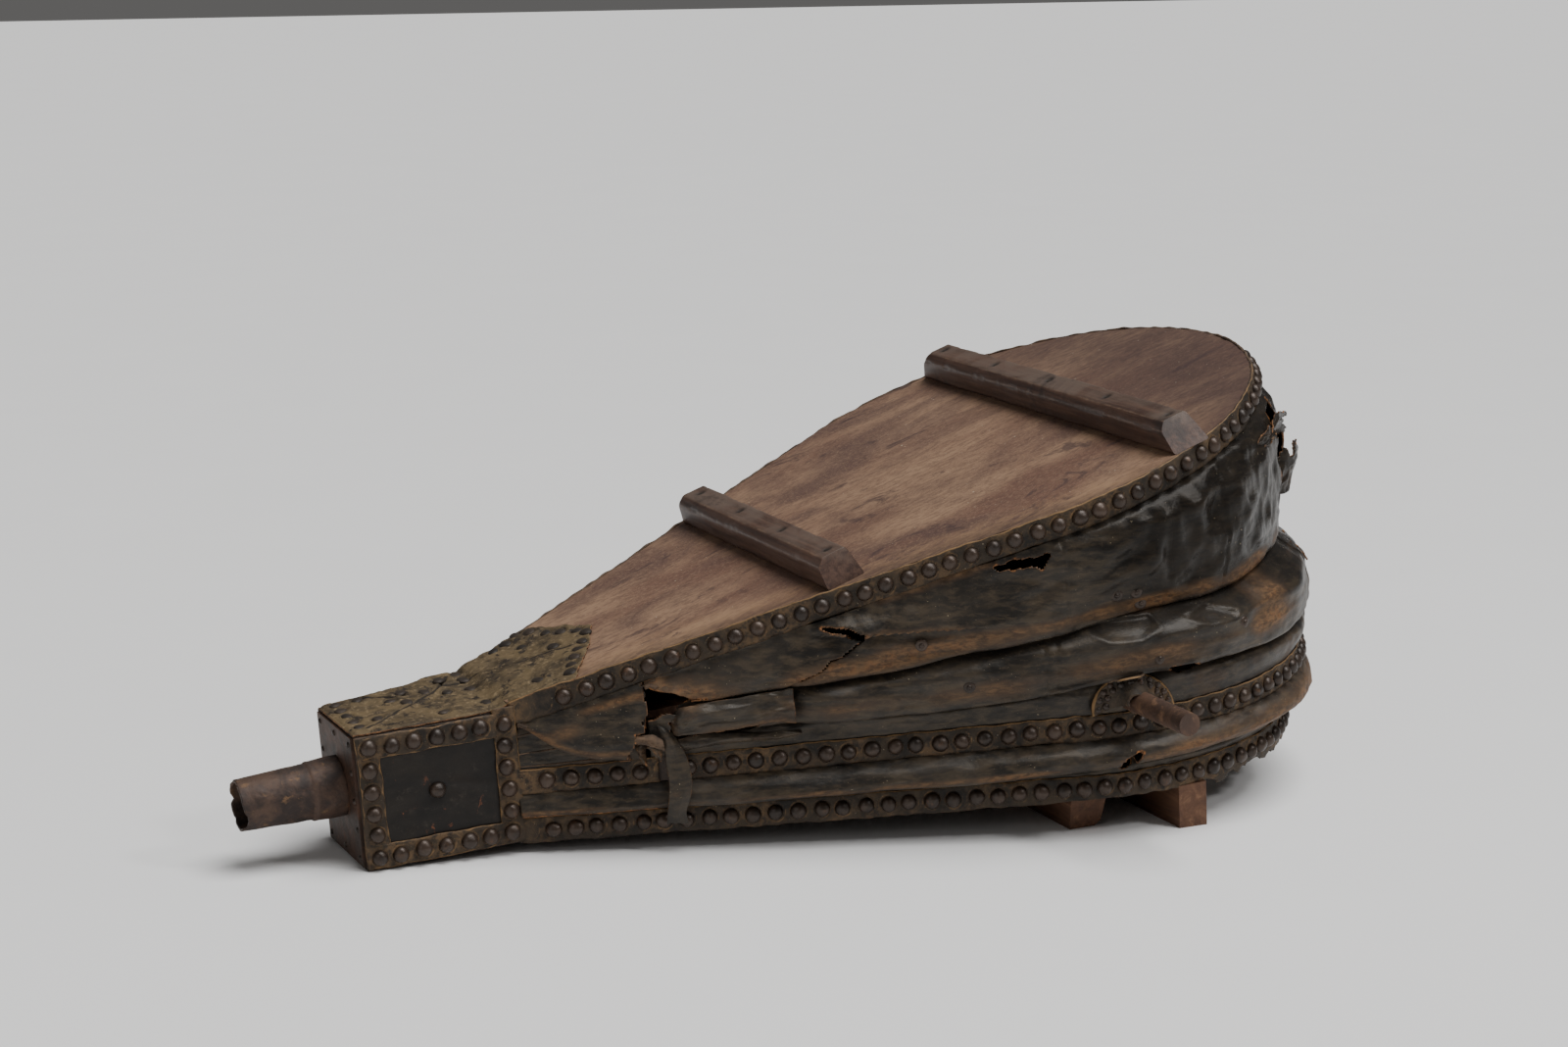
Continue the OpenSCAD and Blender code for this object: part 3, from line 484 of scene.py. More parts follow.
# Dark, warm and rust colours, where rust begins, roughness, depth of pits
IRONS = {
    "stud": ((0.019, 0.0125, 0.009), (0.046, 0.029, 0.0195), (0.085, 0.044, 0.024), 0.56, (0.3, 0.5), 0.25),
    "flat_stud": ((0.019, 0.015, 0.012), (0.04, 0.028, 0.02), (0.07, 0.046, 0.026), 0.6, (0.5, 0.75), 0.4),
    "nozzle": ((0.03, 0.02, 0.017), (0.085, 0.05, 0.034), (0.16, 0.09, 0.045), 0.55, (0.5, 0.78), 0.8),
    "plate": ((0.03, 0.018, 0.012), (0.075, 0.036, 0.021), (0.12, 0.055, 0.03), 0.56, (0.5, 0.72), 0.5),
    "bar": ((0.06, 0.035, 0.025), (0.12, 0.066, 0.042), (0.19, 0.105, 0.06), 0.52, (0.5, 0.7), 0.7),
}
# Dark, middle, light and stain colours, where stains begin, roughness, stretch of the grain
WOODS = {
    "dark_wood": ((0.022, 0.015, 0.011), (0.045, 0.03, 0.022), (0.075, 0.05, 0.035), (0.015, 0.01, 0.008), 0.5,
                  (0.6, 0.8), (1, 14, 14)),
    "raw_wood": ((0.05, 0.02, 0.01), (0.11, 0.048, 0.023), (0.2, 0.1, 0.05), (0.06, 0.03, 0.02), 0.56,
                 (0.6, 0.85), (14, 1, 14)),
}
LOOKS = {
    "chamber": chamber_leather(), "raw": raw_leather(), "flesh": flesh_leather(), "strap": strap_leather(),
    "cover": cover_leather(), "panel": panel_leather(), "top_wood": top_wood(), "batten": batten_wood(),
    **{look: rusty_iron(look + "_iron", *values) for look, values in IRONS.items()},
    **{look: plank_wood(look, *values) for look, values in WOODS.items()},
}

CAD_LOOKS = {
    "head_block": "dark_wood", "nose_plate": "plate", "nose_plate_nails": "stud",
    "middle_board": "dark_wood", "trunnion_bar": "bar", "trunnion_saddles": "bar", "trunnion_bolts": "bar",
    "trunnion_nuts": "bar",
    "transfer_valve_keeper": "raw_wood", "transfer_valve_flap": "raw_wood", "transfer_valve_leather": "strap",
    "bottom_hinge_leather": "cover", "top_board": "top_wood", "hoop_upper": "raw_wood",
    "hoop_upper_nails": "flat_stud", "hoop_lower": "raw_wood", "hoop_lower_nails": "flat_stud",
    "bottom_board": "dark_wood", "bottom_batten_front": "raw_wood", "bottom_batten_rear": "raw_wood",
    "bottom_batten_nails": "flat_stud", "intake_valve_keeper": "raw_wood", "intake_valve_flap": "raw_wood",
    "intake_valve_leather": "strap",
}
for node, look in CAD_LOOKS.items():
    piece = frame["nodes"][node]
    piece.data.materials.clear()
    piece.data.materials.append(LOOKS[look])


# ------------------------------------------------------------------ mesh helpers
# Looks of a sheet's outside, cut edges and inside
TORN, BANDED = ["chamber", "raw", "flesh"], ["strap", "flesh", "flesh"]


def new_mesh(name, verts, faces, materials, marks):
    """A smooth-shaded piece from points in the row frame, with float marks for its material."""
    mesh = bpy.data.meshes.new(name)
    mesh.from_pydata([tuple(v) for v in verts], [], [tuple(f) for f in faces])
    for mark, values in marks.items():
        mesh.attributes.new(mark, "FLOAT", "POINT").data.foreach_set("value", np.asarray(values, np.float32))
    for m in materials:
        mesh.materials.append(LOOKS[m])
    mesh.polygons.foreach_set("use_smooth", [True] * len(mesh.polygons))
    mesh.update()
    piece = bpy.data.objects.new(name, mesh)
    bpy.context.scene.collection.objects.link(piece)
    return piece


def sheet_mesh(name, points, thickness, materials, marks, keep=None):
    """Leather of a real thickness, in mm, from a grid of outer points in the bench frame.
    materials are its outside, its cut edges and its inside."""
    rows, cols = points.shape[:2]
    a = np.arange(rows * cols).reshape(rows, cols)
    quads = np.stack([a[:-1, :-1], a[1:, :-1], a[1:, 1:], a[:-1, 1:]], -1)
    faces = quads.reshape(-1, 4) if keep is None else quads[keep]
    used = np.unique(faces)
    index = np.full(rows * cols, -1)
    index[used] = np.arange(len(used))
    flat = to_row(points).reshape(-1, 3)[used]
    marks = {m: np.asarray(v).reshape(-1)[used] for m, v in marks.items()}
    piece = new_mesh(name, flat, index[faces], materials, marks)
    solid = piece.modifiers.new("thickness", "SOLIDIFY")
    solid.thickness = thickness / 1000
    solid.offset = -1
    solid.use_even_offset = False
    solid.material_offset_rim = 1
    solid.material_offset = 2
    thick = bpy.data.meshes.new_from_object(piece.evaluated_get(bpy.context.evaluated_depsgraph_get()))
    piece.modifiers.clear()
    piece.data = thick
    return piece


@contextmanager
def edited(mesh):
    """The mesh as a bmesh, written back at the end."""
    bm = bmesh.new()
    bm.from_mesh(mesh)
    yield bm
    bm.to_mesh(mesh)
    bm.free()


def attach(piece, body, slot, *nodes):
    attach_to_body(piece, body)
    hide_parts(*nodes)


def joined(parts):
    """One (verts, faces, marks) part from several."""
    verts = np.concatenate([p[0] for p in parts])
    starts = np.cumsum([0] + [len(p[0]) for p in parts[:-1]])
    faces = [tuple(int(i) + int(start) for i in f) for p, start in zip(parts, starts) for f in p[1]]
    marks = {m: np.concatenate([p[2][m] for p in parts]) for m in parts[0][2]}
    return verts, faces, marks


# ------------------------------------------------------------------ nails
def nail_head(rng, radius, height, flatness, seat, out, turn=None, oval=1.0):
    """One hand-forged head: a lumpy cap seated at a bench point, its axis towards another one."""
    rings, around = 6, 16
    lumps = rng.uniform(-1, 1, 6)
    size = 1 + 0.05 * rng.uniform(-1, 1)
    angles = np.arange(around) * 2 * math.pi / around
    verts = []
    for i in range(rings):
        t = i / (rings - 1)
        bend = t * math.pi / 2
        r = radius * size * math.sin(bend) ** (1 / flatness)
        z = height * math.cos(bend)
        for a in angles:
            lump = 1 + 0.035 * lumps[0] * math.cos(2 * a + lumps[1]) + 0.025 * lumps[2] * math.cos(3 * a + lumps[3])
            dent = 0.06 * height * math.sin(bend * 2) * math.cos(a * 2 + 3 * lumps[4])
            verts.append((r * lump * math.cos(a) * oval, r * lump * math.sin(a) / oval, z + dent))
    verts = np.array(verts)
    skirt = verts[-around:] * [0.93, 0.93, 1] + [0, 0, -1.6]
    verts = np.concatenate([[[0, 0, height]], verts[around:], skirt]) / 1000
    faces = [(0, 1 + j, 1 + (j + 1) % around) for j in range(around)]
    for i in range(rings - 1):
        a = 1 + i * around
        faces += [(a + j, a + around + j, a + around + (j + 1) % around, a + (j + 1) % around) for j in range(around)]
    last = 1 + (rings - 1) * around
    faces.append(tuple(last + j for j in range(around - 1, -1, -1)))
    normal = Vector(bench_normal(seat, out)).normalized()
    normal = (normal + Vector(rng.uniform(-1, 1, 3) * 0.06)).normalized()
    spin = Matrix.Rotation(rng.uniform(0, 6.28) if turn is None else turn, 3, "Z")
    rot = normal.to_track_quat("Z", "Y").to_matrix() @ spin
    verts = verts @ np.array(rot).T + to_row(seat)
    tint = max(0.0, rng.normal(0.1, 0.3))
    return verts, faces, {"tint": np.full(len(verts), min(1.0, tint))}


def bench_normal(p, q):
    """Row-frame direction from bench point p to bench point q."""
    return to_row(np.asarray(q, float)) - to_row(np.asarray(p, float))


def nail_piece(name, parts, look, nodes, body):
    verts, faces, marks = joined(parts)
    attach(new_mesh(name, verts, faces, [look], marks), body, "nail_iron", *nodes)


def edge_nails(name, node, board, place, z, ks, body, seed):
    """The domed nails of one board's strap."""
    rng = np.random.RandomState(seed)
    parts = []
    for k in ks:
        at = k + 0.5 + rng.uniform(-0.07, 0.07)
        lift = z + rng.uniform(-1.4, 1.4)
        seat, out = (place(*edge(at, board, STRAP_T + d), lift) for d in (0, 10))
        parts.append(nail_head(rng, DOME_R, DOME_H, 1.0, seat, out))
    nail_piece(name, parts, "stud", [node], body)


# The middle strap has a gap, with no nail in it, on each side
GAPS = {6, EDGE_N - 7}
edge_nails("top_strap_nails", "top_strap_studs", TOP_BOARD, on_top_board, -BOARD_T / 2,
           range(2, EDGE_N - 1), "top_board", 11)
edge_nails("middle_strap_nails", "middle_strap_studs", MIDDLE_BOARD, on_middle_board, BOARD_T / 2,
           [k for k in range(1, EDGE_N - 1) if k not in GAPS], "frame", 12)
edge_nails("bottom_strap_nails", "bottom_strap_studs", BOTTOM_BOARD, on_bottom_board, BOARD_T / 2,
           range(1, EDGE_N - 1), "bottom_board", 13)


# ------------------------------------------------------------------ nailed straps
def nail_ring(far):
    """Dust caught round a domed nail, by the distance from it in mm."""
    return 0.62 * bell(far - DOME_R - 1.5, 2.6)


def strap(name, node, board, place, low, high, spans, body, seed, ragged=()):
    """Doubled leather band round a board's edge, pulled in at each nail, with uneven cut edges.
    ragged holds (first k, last k, depth mm) where its lower edge hangs torn."""
    step, across = 0.1, 17
    for n, (k0, k1) in enumerate(spans):
        k = np.linspace(k0, k1, int((k1 - k0) / step) + 1)[:, None]
        t = np.linspace(0, 1, across)[None, :]
        pinch = np.cos(2 * math.pi * (k - 0.5))
        top = high + 1.3 * noise(k * 0.9, 0, seed) + 0.5 * pinch
        bottom = low - 1.3 * noise(k * 0.9, 9, seed + 5) - 0.5 * pinch
        for start, end, depth in ragged:
            inside = smooth((k - start) / 1.5) * smooth((end - k) / 1.5)
            bottom = bottom - depth * inside * np.clip(noise(k * 1.6, 3, seed + 7) + 0.5, 0, 1.4)
        z = bottom + (top - bottom) * t
        roll = np.minimum(1, np.minimum(t, 1 - t) * 9)
        off = STRAP_T * (0.72 + 0.28 * smooth(roll))
        off = off + 0.7 * noise(k * 1.7, t * 3, seed + 9) - 0.5 * pinch * bell(t - 0.5, 0.2)
        x, y = edge(k + 0 * t, board, off)
        rim = smooth(1 - (1 - t) * 9 + 0 * k) + 0.45 * smooth(1 - t * 9 + 0 * k)
        rim = np.maximum(rim, nail_ring(np.hypot((k % 1 - 0.5) * EDGE_STEP, (t - 0.5) * (high - low))))
        part = sheet_mesh(f"{name}_{n}" if len(spans) > 1 else name, place(x, y, z), STRAP_T - 0.6,
                          BANDED, {"ridge": rim, "raw": 0 * rim})
        attach(part, body, "strap_leather", node)


strap("top_strap_band", "top_strap", TOP_BOARD, on_top_board, -BOARD_T - 1.5, 1.5, [(0.02, EDGE_N - 0.02)],
      "top_board", 21)
strap("middle_strap_band", "middle_strap", MIDDLE_BOARD, on_middle_board, -1, BOARD_T + 1,
      [(0.05, 6.3), (7.1, EDGE_N - 7), (EDGE_N - 6, EDGE_N - 0.05)], "frame", 31)
strap("bottom_strap_band", "bottom_strap", BOTTOM_BOARD, on_bottom_board, -1, BOARD_T + 1.5,
      [(0.1, EDGE_N - 0.1)], "bottom_board", 41, ragged=[(31, 48, 9), (60, 70, 6)])


# ------------------------------------------------------------------ chamber leather
# Folds of the upper chamber at edge point k: shares of the height where the two creases
# lie, how far each fold stands out in mm from the lowest to the highest, how deep the
# creases are in mm, and how far the two upper folds hang over them, as shares of height.
FOLDS = [
    # k, crease2, crease1, fold3, fold2, fold1, depth2, depth1, hang2, hang1
    (6.2, 0.25, 0.92, 5, 7, 9, 6, 5, 0.04, 0.02),
    (7.4, 0.25, 0.72, 6, 8, 13, 7, 7, 0.04, 0.04),
    (8.8, 0.25, 0.65, 6, 8, 17, 7, 9, 0.04, 0.05),
    (10.6, 0.25, 0.63, 6, 8, 20, 8, 11, 0.04, 0.05),
    (12.3, 0.24, 0.6, 6, 9, 22, 9, 13, 0.04, 0.06),
    (13.1, 0.235, 0.58, 3, 24, 24, 10, 14, 0.05, 0.06),
    (16.0, 0.22, 0.555, 3, 28, 27, 12, 16, 0.05, 0.06),
    (20.0, 0.215, 0.555, 3, 31, 30, 14, 18, 0.05, 0.06),
    (24.0, 0.23, 0.55, 5, 32, 31, 14, 20, 0.05, 0.06),
    (28.0, 0.235, 0.52, 8, 32, 30, 16, 24, 0.04, 0.06),
    (33.0, 0.2, 0.46, 13, 33, 27, 16, 26, 0.03, 0.05),
    (40.0, 0.16, 0.44, 18, 32, 22, 15, 26, 0.03, 0.04),
    (49.5, 0.15, 0.44, 18, 33, 23, 16, 26, 0.03, 0.04),
    (60.0, 0.16, 0.45, 17, 33, 25, 16, 26, 0.03, 0.05),
    (68.0, 0.18, 0.48, 14, 31, 27, 14, 22, 0.03, 0.06),
    (78.0, 0.17, 0.52, 8, 28, 27, 12, 18, 0.04, 0.06),
    (88.0, 0.18, 0.58, 6, 22, 22, 10, 14, 0.04, 0.05),
    (98.8, 0.22, 0.68, 4, 10, 10, 6, 7, 0.03, 0.03),
]


def fold_profile(folds, t):
    """Share of height and offset at t from 0, the lower board, to 1, the upper one.
    Where the upper fold is large it is a belly under the strap, and elsewhere a lip over the crease."""
    c2, c1, b3, b2, b1, d2, d1, h2, h1 = np.moveaxis(folds, -1, 0)[..., None]
    zero = 0 * c2
    rise2, rise1 = c1 - c2, 1 - c1
    belly = smooth((d1 - 19) / 5)
    h1 = h1 * (1 - 0.75 * belly)
    heights = np.concatenate([
        zero, 0.3 * c2, 0.6 * c2, 0.85 * c2, c2 + 0.01, c2 - h2, c2 + 0.03,
        c2 + 0.3 * rise2, c2 + 0.6 * rise2, c2 + 0.85 * rise2, c1 + 0.012, c1 - h1, c1 + 0.03,
        c1 + 0.25 * rise1, c1 + 0.5 * rise1, c1 + 0.78 * rise1, 0.97 + zero, 1 + zero], -1)
    offsets = np.concatenate([
        1 + zero, 0.75 * b3, b3, 0.2 * b3 - 0.4 * d2, -d2, 0.7 * b2, 0.95 * b2,
        1.04 * b2, 0.85 * b2, 0.2 * b2 - 0.45 * d1, -d1,
        (1 - belly) * 0.72 * b1 - belly * 0.3 * d1, (1 - belly) * 0.97 * b1,
        (1 - 0.55 * belly) * b1, (0.78 + 0.05 * belly) * b1, (0.4 + 0.5 * belly) * b1,
        (0.1 + 0.4 * belly) * b1 + 1, 1 + zero], -1)
    n = heights.shape[-1]
    knots = np.arange(n) / (n - 1)
    both = np.stack([heights, offsets], -1)
    bent = through(knots, np.moveaxis(both, 1, 0).reshape(n, -1), t)
    bent = bent.reshape(len(t), len(folds), 2)
    return bent[..., 0].T, bent[..., 1].T


def chamber_point(k, share, off):
    """Bench point of the upper chamber's wall."""
    x0, y0 = edge(k, MIDDLE_BOARD, off)
    x1, y1 = edge(k, TOP_BOARD, off)
    low = on_middle_board(x0, y0, BOARD_T + 0.6 + 0 * off)
    high = on_top_board(x1, y1, -BOARD_T - 0.6 + 0 * off)
    return low + (high - low) * share[..., None]


def chamber_height(k):
    x1, _ = edge(k, TOP_BOARD)
    return on_top_board(x1, 0, -BOARD_T)[..., 2] - MIDDLE_TOP


def dents(k, share, height, places):
    """Soft hollows and lumps: (k, share, half width mm, half height mm, slope, depth mm)."""
    total = 0 * k
    for k0, f0, wide, tall, slope, depth in places:
        u = (k - k0) * EDGE_STEP
        v = (share - f0) * height - slope * u
        total = total - depth * np.exp(-((u / wide) ** 2) - (v / tall) ** 2)
    return total


def wall_mm(corners):
    """(k, share) points as mm along and up the wall."""
    return [(k * EDGE_STEP, share * float(chamber_height(np.array(k)))) for k, share in corners]


def segment_distance(u, v, start, end):
    """Distance from (u, v) to a segment, and a measure that is positive to its left."""
    (x0, y0), (x1, y1) = start, end
    ex, ey = x1 - x0, y1 - y0
    t = np.clip(((u - x0) * ex + (v - y0) * ey) / (ex * ex + ey * ey), 0, 1)
    return np.hypot(u - x0 - t * ex, v - y0 - t * ey), ex * (v - y0) - ey * (u - x0)


def polygon_distance(k, share, height, corners):
    """Signed distance in mm to an outline of (k, share) corners, negative inside."""
    u, v = k * EDGE_STEP, share * height
    pts = wall_mm(corners)
    best = np.full(k.shape, 1e9)
    inside = np.zeros(k.shape, bool)
    for (x0, y0), (x1, y1) in zip(pts, pts[1:] + pts[:1]):
        best = np.minimum(best, segment_distance(u, v, (x0, y0), (x1, y1))[0])
        crosses = (y0 > v) != (y1 > v)
        inside ^= crosses & (u < x0 + (v - y0) / (y1 - y0 + 1e-9) * (x1 - x0))
    return np.where(inside, -best, best)


def line_distance(k, share, height, corners):
    """Distance in mm to a line of (k, share) points, and its side: 1 to its left, -1 to its right."""
    pts = wall_mm(corners)
    best, side = np.full(k.shape, 1e9), np.ones(k.shape)
    for start, end in zip(pts[:-1], pts[1:]):
        far, left = segment_distance(k * EDGE_STEP, share * height, start, end)
        side = np.where(far < best, np.sign(left), side)
        best = np.minimum(best, far)
    return best, side


# Holes torn in the near side and the rear, as (k, share) outlines
HOLES = [
    [(5.8, 0.95), (5.9, 0.5), (7.2, 0.54), (7.5, 0.64), (8.7, 0.63), (7.4, 0.75), (6.6, 0.88)],
    [(6.9, 0.45), (10.2, 0.4), (11.4, 0.3), (10.6, 0.21), (9.0, 0.215), (7.1, 0.18)],
    [(14.2, 0.965), (15.1, 0.93), (16.15, 0.83), (15.95, 0.79), (15.1, 0.86), (14.5, 0.92)],
    [(22.1, 0.975), (22.8, 0.985), (23.7, 0.955), (25.0, 0.965), (24.3, 0.9), (23.3, 0.925), (22.5, 0.93)],
    [(28.9, 0.215), (30.2, 0.2), (31.6, 0.165), (30.4, 0.15), (29.2, 0.175)],
    [(39.8, 0.97), (40.4, 0.78), (41.0, 0.66), (42.0, 0.7), (42.3, 0.86), (41.6, 0.98)],
]
NEAR_DENTS = [
    (28.3, 0.8, 42, 15, 0.3, 10), (30.3, 0.74, 15, 26, 0.2, 11), (27.0, 0.7, 40, 12, 0.2, -6),
    (29.2, 0.72, 22, 16, 0.2, -6), (33.2, 0.8, 26, 26, 0.2, 10), (35.4, 0.72, 40, 20, 0.1, -7),
    (24.0, 0.76, 60, 10, 0.2, 4), (31.8, 0.39, 40, 10, 0.0, 7), (34.8, 0.3, 26, 14, 0.1, 8),
    (38.8, 0.3, 40, 22, 0.0, -7), (44.0, 0.62, 46, 30, 0.0, 9), (47.0, 0.75, 40, 24, 0.1, -8),
    (56.0, 0.7, 60, 26, 0.1, 9), (63.0, 0.3, 60, 20, 0.1, 8), (70.0, 0.74, 60, 20, 0.1, 8),
    (80.0, 0.34, 70, 16, 0.0, 7),
]
# Pressed-in pads with a hard rim, by the near trunnion
PADS = [
    [(25.4, 0.5), (26.6, 0.4), (28.0, 0.375), (29.1, 0.41), (29.0, 0.465), (27.2, 0.495)],
    [(30.1, 0.425), (31.4, 0.35), (33.0, 0.33), (33.5, 0.355), (32.0, 0.42)],
]
# Sewn seams, and the crack under the second fold
SEAMS = [
    [(25.45, 0.97), (25.2, 0.74), (25.0, 0.58)], [(23.8, 0.5), (23.45, 0.18)], [(24.4, 0.5), (23.95, 0.18)],
    [(12.5, 0.57), (12.35, 0.2)], [(33.9, 0.97), (33.6, 0.5)], [(42.4, 0.42), (42.5, 0.0)],
    [(55.0, 0.97), (55.2, 0.0)], [(73.5, 0.97), (73.6, 0.55)], [(75.0, 0.5), (75.3, 0.16)],
]
CRACKS = [[(23.6, 0.205), (26.0, 0.235), (29.0, 0.2)]]
# The upper fold laps over a second one: above this line the leather stands further out
LAP = [(13.6, 0.94), (16.0, 0.81), (18.0, 0.75), (20.5, 0.68), (22.5, 0.63)]
# Edge of the sheet that tore away from the hole under the top strap
TEAR = [(16.1, 0.79), (14.9, 0.7), (14.3, 0.69), (13.9, 0.63), (12.8, 0.585)]


def streaks_of_wear(k, share, height, table):
    """How rubbed the leather is, most along the lips of the folds."""
    crease2, crease1 = (through(table[:, 0], table[:, c], k) for c in (1, 2))
    lip1 = bell((share - crease1 - 0.02) * height, 17)
    lip2 = bell((share - crease2 - 0.05) * height, 22)
    under_strap = bell((1 - share) * height, 13) * smooth((k - 14) / 3) * smooth((24 - k) / 3)
    shoulder = np.exp(-(((k - 38) / 5) ** 2) - ((share - 0.34) / 0.09) ** 2)
    middle = 0.3 * bell((share - crease1 - 0.14) * height, 30) * smooth((26 - k) / 8)
    lowest = 0.5 * smooth((crease2 - share) / 0.05) * smooth((k - 27) / 4) * smooth((52 - k) / 8)
    wave = 0.75 + 0.45 * noise(k * 0.45, share * 3, 77)
    return np.clip((0.95 * lip1 + 0.7 * lip2 + 0.8 * under_strap + 0.7 * shoulder + middle + lowest) * wave, 0, 1.2)


def wall_marks(k, share, height, ridge, raw):
    return {"ridge": ridge, "raw": raw, "along": k * EDGE_STEP / 1000, "up": share * height / 1000}


def folded_wall(k, t, table, seed):
    """Share of height, offset and height of a folded and wrinkled wall at each k and t."""
    share, off = fold_profile(through(table[:, 0], table[:, 1:], k), t)
    k = k[:, None] + 0 * share
    height = chamber_height(k)
    held = smooth(np.minimum(t, 1 - t) * 9)[None, :]
    pleat = 1.8 * np.cos(2 * math.pi * k) * np.exp(-np.minimum(t, 1 - t) * 16)[None, :] * held
    wide = noise(k * 0.22, share * 3.2, seed)
    narrow = noise(k * 0.7, share * 10, seed + 10)
    long = noise(k * 0.16, share * height / 26, seed + 15)
    crumple = noise(k * 0.42 + share * 5, share * height / 34 - k * 0.12, seed + 17)
    slack = smooth((k - 27) / 5) * smooth((46 - k) / 4) * smooth((share - 0.48) / 0.12) * held
    off = off + 10 * slack * noise(k * 0.34 - share * 2.2, share * 3.4 + k * 0.05, seed + 18)
    off = off + 3.5 * slack * noise(k * 1.1 + share * 3, share * 7, seed + 19)
    wrinkles = 3.4 * wide + 1.0 * narrow + 2.2 * long + 2.0 * crumple
    off = off + held * wrinkles * np.clip(height / 220, 0.35, 1) + pleat
    off = off + dents(k, share, height, NEAR_DENTS)
    share = share + held * 0.01 * noise(k * 0.3, t[None, :] * 3, seed + 20)
    return k, share, off, height


GRID_STEP, GRID_SHARES = 0.25, 120


def outermost(table, seed):
    """How far out the folded wall stands, on a grid of edge point and share of height."""
    ks = np.arange(0, EDGE_N + 0.1, GRID_STEP)
    _, share, off, _ = folded_wall(ks, np.linspace(0, 1, 700), table, seed)
    grid = np.full((len(ks), GRID_SHARES + 1), -40.0)
    column = np.clip(np.rint(share * GRID_SHARES), 0, GRID_SHARES).astype(int)
    np.maximum.at(grid, (np.arange(len(ks))[:, None] + 0 * column, column), off)
    return grid


def leather_off(k, share):
    """Offset of the main wall's outside at an edge point and share of height."""
    k, share = np.broadcast_arrays(np.asarray(k, float), np.asarray(share, float))
    i = np.clip(k / GRID_STEP, 0, WALL_GRID.shape[0] - 1.001)
    j = np.clip(share * GRID_SHARES, 0, GRID_SHARES - 0.001)
    i0, j0 = i.astype(int), j.astype(int)
    fi, fj = i - i0, j - j0
    low = WALL_GRID[i0, j0] * (1 - fi) + WALL_GRID[i0 + 1, j0] * fi
    high = WALL_GRID[i0, j0 + 1] * (1 - fi) + WALL_GRID[i0 + 1, j0 + 1] * fi
    return low * (1 - fj) + high * fj


WALL_GRID = outermost(np.array(FOLDS, float), 100)


def chamber_sheet(name, k0, k1, folds, holes, seed, wear=streaks_of_wear):
    """One torn and folded sheet of the upper chamber's wall."""
    rows, cols = int((k1 - k0) * 10) + 1, 144
    table = np.array(folds, float)
    k, share, off, height = folded_wall(np.linspace(k0, k1, rows), np.linspace(0, 1, cols), table, seed)
    ridge = wear(k, share, height, table)
    raw = 0 * off
    for corners in PADS:
        far = polygon_distance(k, share, height, corners)
        off = off - 6 * smooth(-far / 9) + 2.2 * bell(far, 3.5)
    for corners in SEAMS:
        far, side = line_distance(k, share, height, corners)
        off = off - 1.8 * bell(far, 2.6) + 0.9 * side * np.exp(-far / 12)
    for corners in CRACKS:
        far, side = line_distance(k, share, height, corners)
        off = off - 3.5 * bell(far, 3)
        raw = np.maximum(raw, 0.5 * np.exp(-far / 4))
    keep = np.ones((rows - 1, cols - 1), bool)
    far, side = line_distance(k, share, height, LAP)
    on_lap = smooth((k - 13.5) / 1.5) * smooth((22.4 - k) / 3)
    off = off + on_lap * np.where(side > 0, 8.0, -7.0) * np.exp(-far / 28)
    ridge = np.maximum(ridge, on_lap * np.exp(-far / 9) * (side > 0))
    far, side = line_distance(k, share, height, TEAR)
    lifted = side < 0
    off = off + np.where(lifted, 6.0 * np.exp(-far / 34), -2.5 * np.exp(-far / 12))
    raw = np.maximum(raw, np.where(lifted, np.exp(-far / 3.2), 0))
    cells = lambda a: (a[:-1, :-1] + a[1:, :-1] + a[1:, 1:] + a[:-1, 1:]) / 4
    keep &= cells(far) > 1.9
    for n, corners in enumerate(holes):
        ragged = 3.6 * noise(k * 2.6, share * height / 14, seed + 40 + n)
        far = polygon_distance(k, share, height, corners) + ragged
        off = off + 6 * np.exp(-np.abs(far) / 14)
        uneven = 0.62 + 0.55 * noise(k * 1.4, share * height / 22, seed + 60 + n)
        raw = np.maximum(raw, np.exp(-np.clip(far, 0, None) / 3.4) * np.clip(uneven, 0, 1))
        keep &= cells(far) > 0
    return sheet_mesh(name, chamber_point(k, share, off), 3.0, TORN, wall_marks(k, share, height, ridge, raw), keep)


def cut_level(piece, z, below_name, above_name):
    """Splits a piece at bench height z into a lower and an upper one."""
    normal = Vector(bench_normal((0, 0, 0), (0, 0, 1000)))
    made = []
    for name, inner in ((below_name, False), (above_name, True)):
        mesh = piece.data.copy()
        with edited(mesh) as bm:
            bmesh.ops.bisect_plane(bm, geom=bm.verts[:] + bm.edges[:] + bm.faces[:], plane_co=row_point(0, 0, z),
                                   plane_no=normal, clear_outer=not inner, clear_inner=inner)
        part = bpy.data.objects.new(name, mesh)
        bpy.context.scene.collection.objects.link(part)
        made.append(part)
    bpy.data.objects.remove(piece)
    return made


HINGE_LEVEL = float(on_top_board(np.array(0.0), 0, -BOARD_T)[2])


def fixed_leather(piece):
    attach(piece, "frame", "chamber_leather", "upper_leather")


def with_top_board(piece, name):
    """Leather of the upper chamber, split at the hinge's height into a part below it and a part above it."""
    still, folding = cut_level(piece, HINGE_LEVEL, name + "_skirt", name + "_folds")
    for part in (still, folding):
        if part.data.polygons:
            fixed_leather(part)
        else:
            bpy.data.objects.remove(part)
    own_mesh(folding)


with_top_board(chamber_sheet("upper_leather_main", 6.0, 98.8, FOLDS, HOLES, 100), "upper_leather")


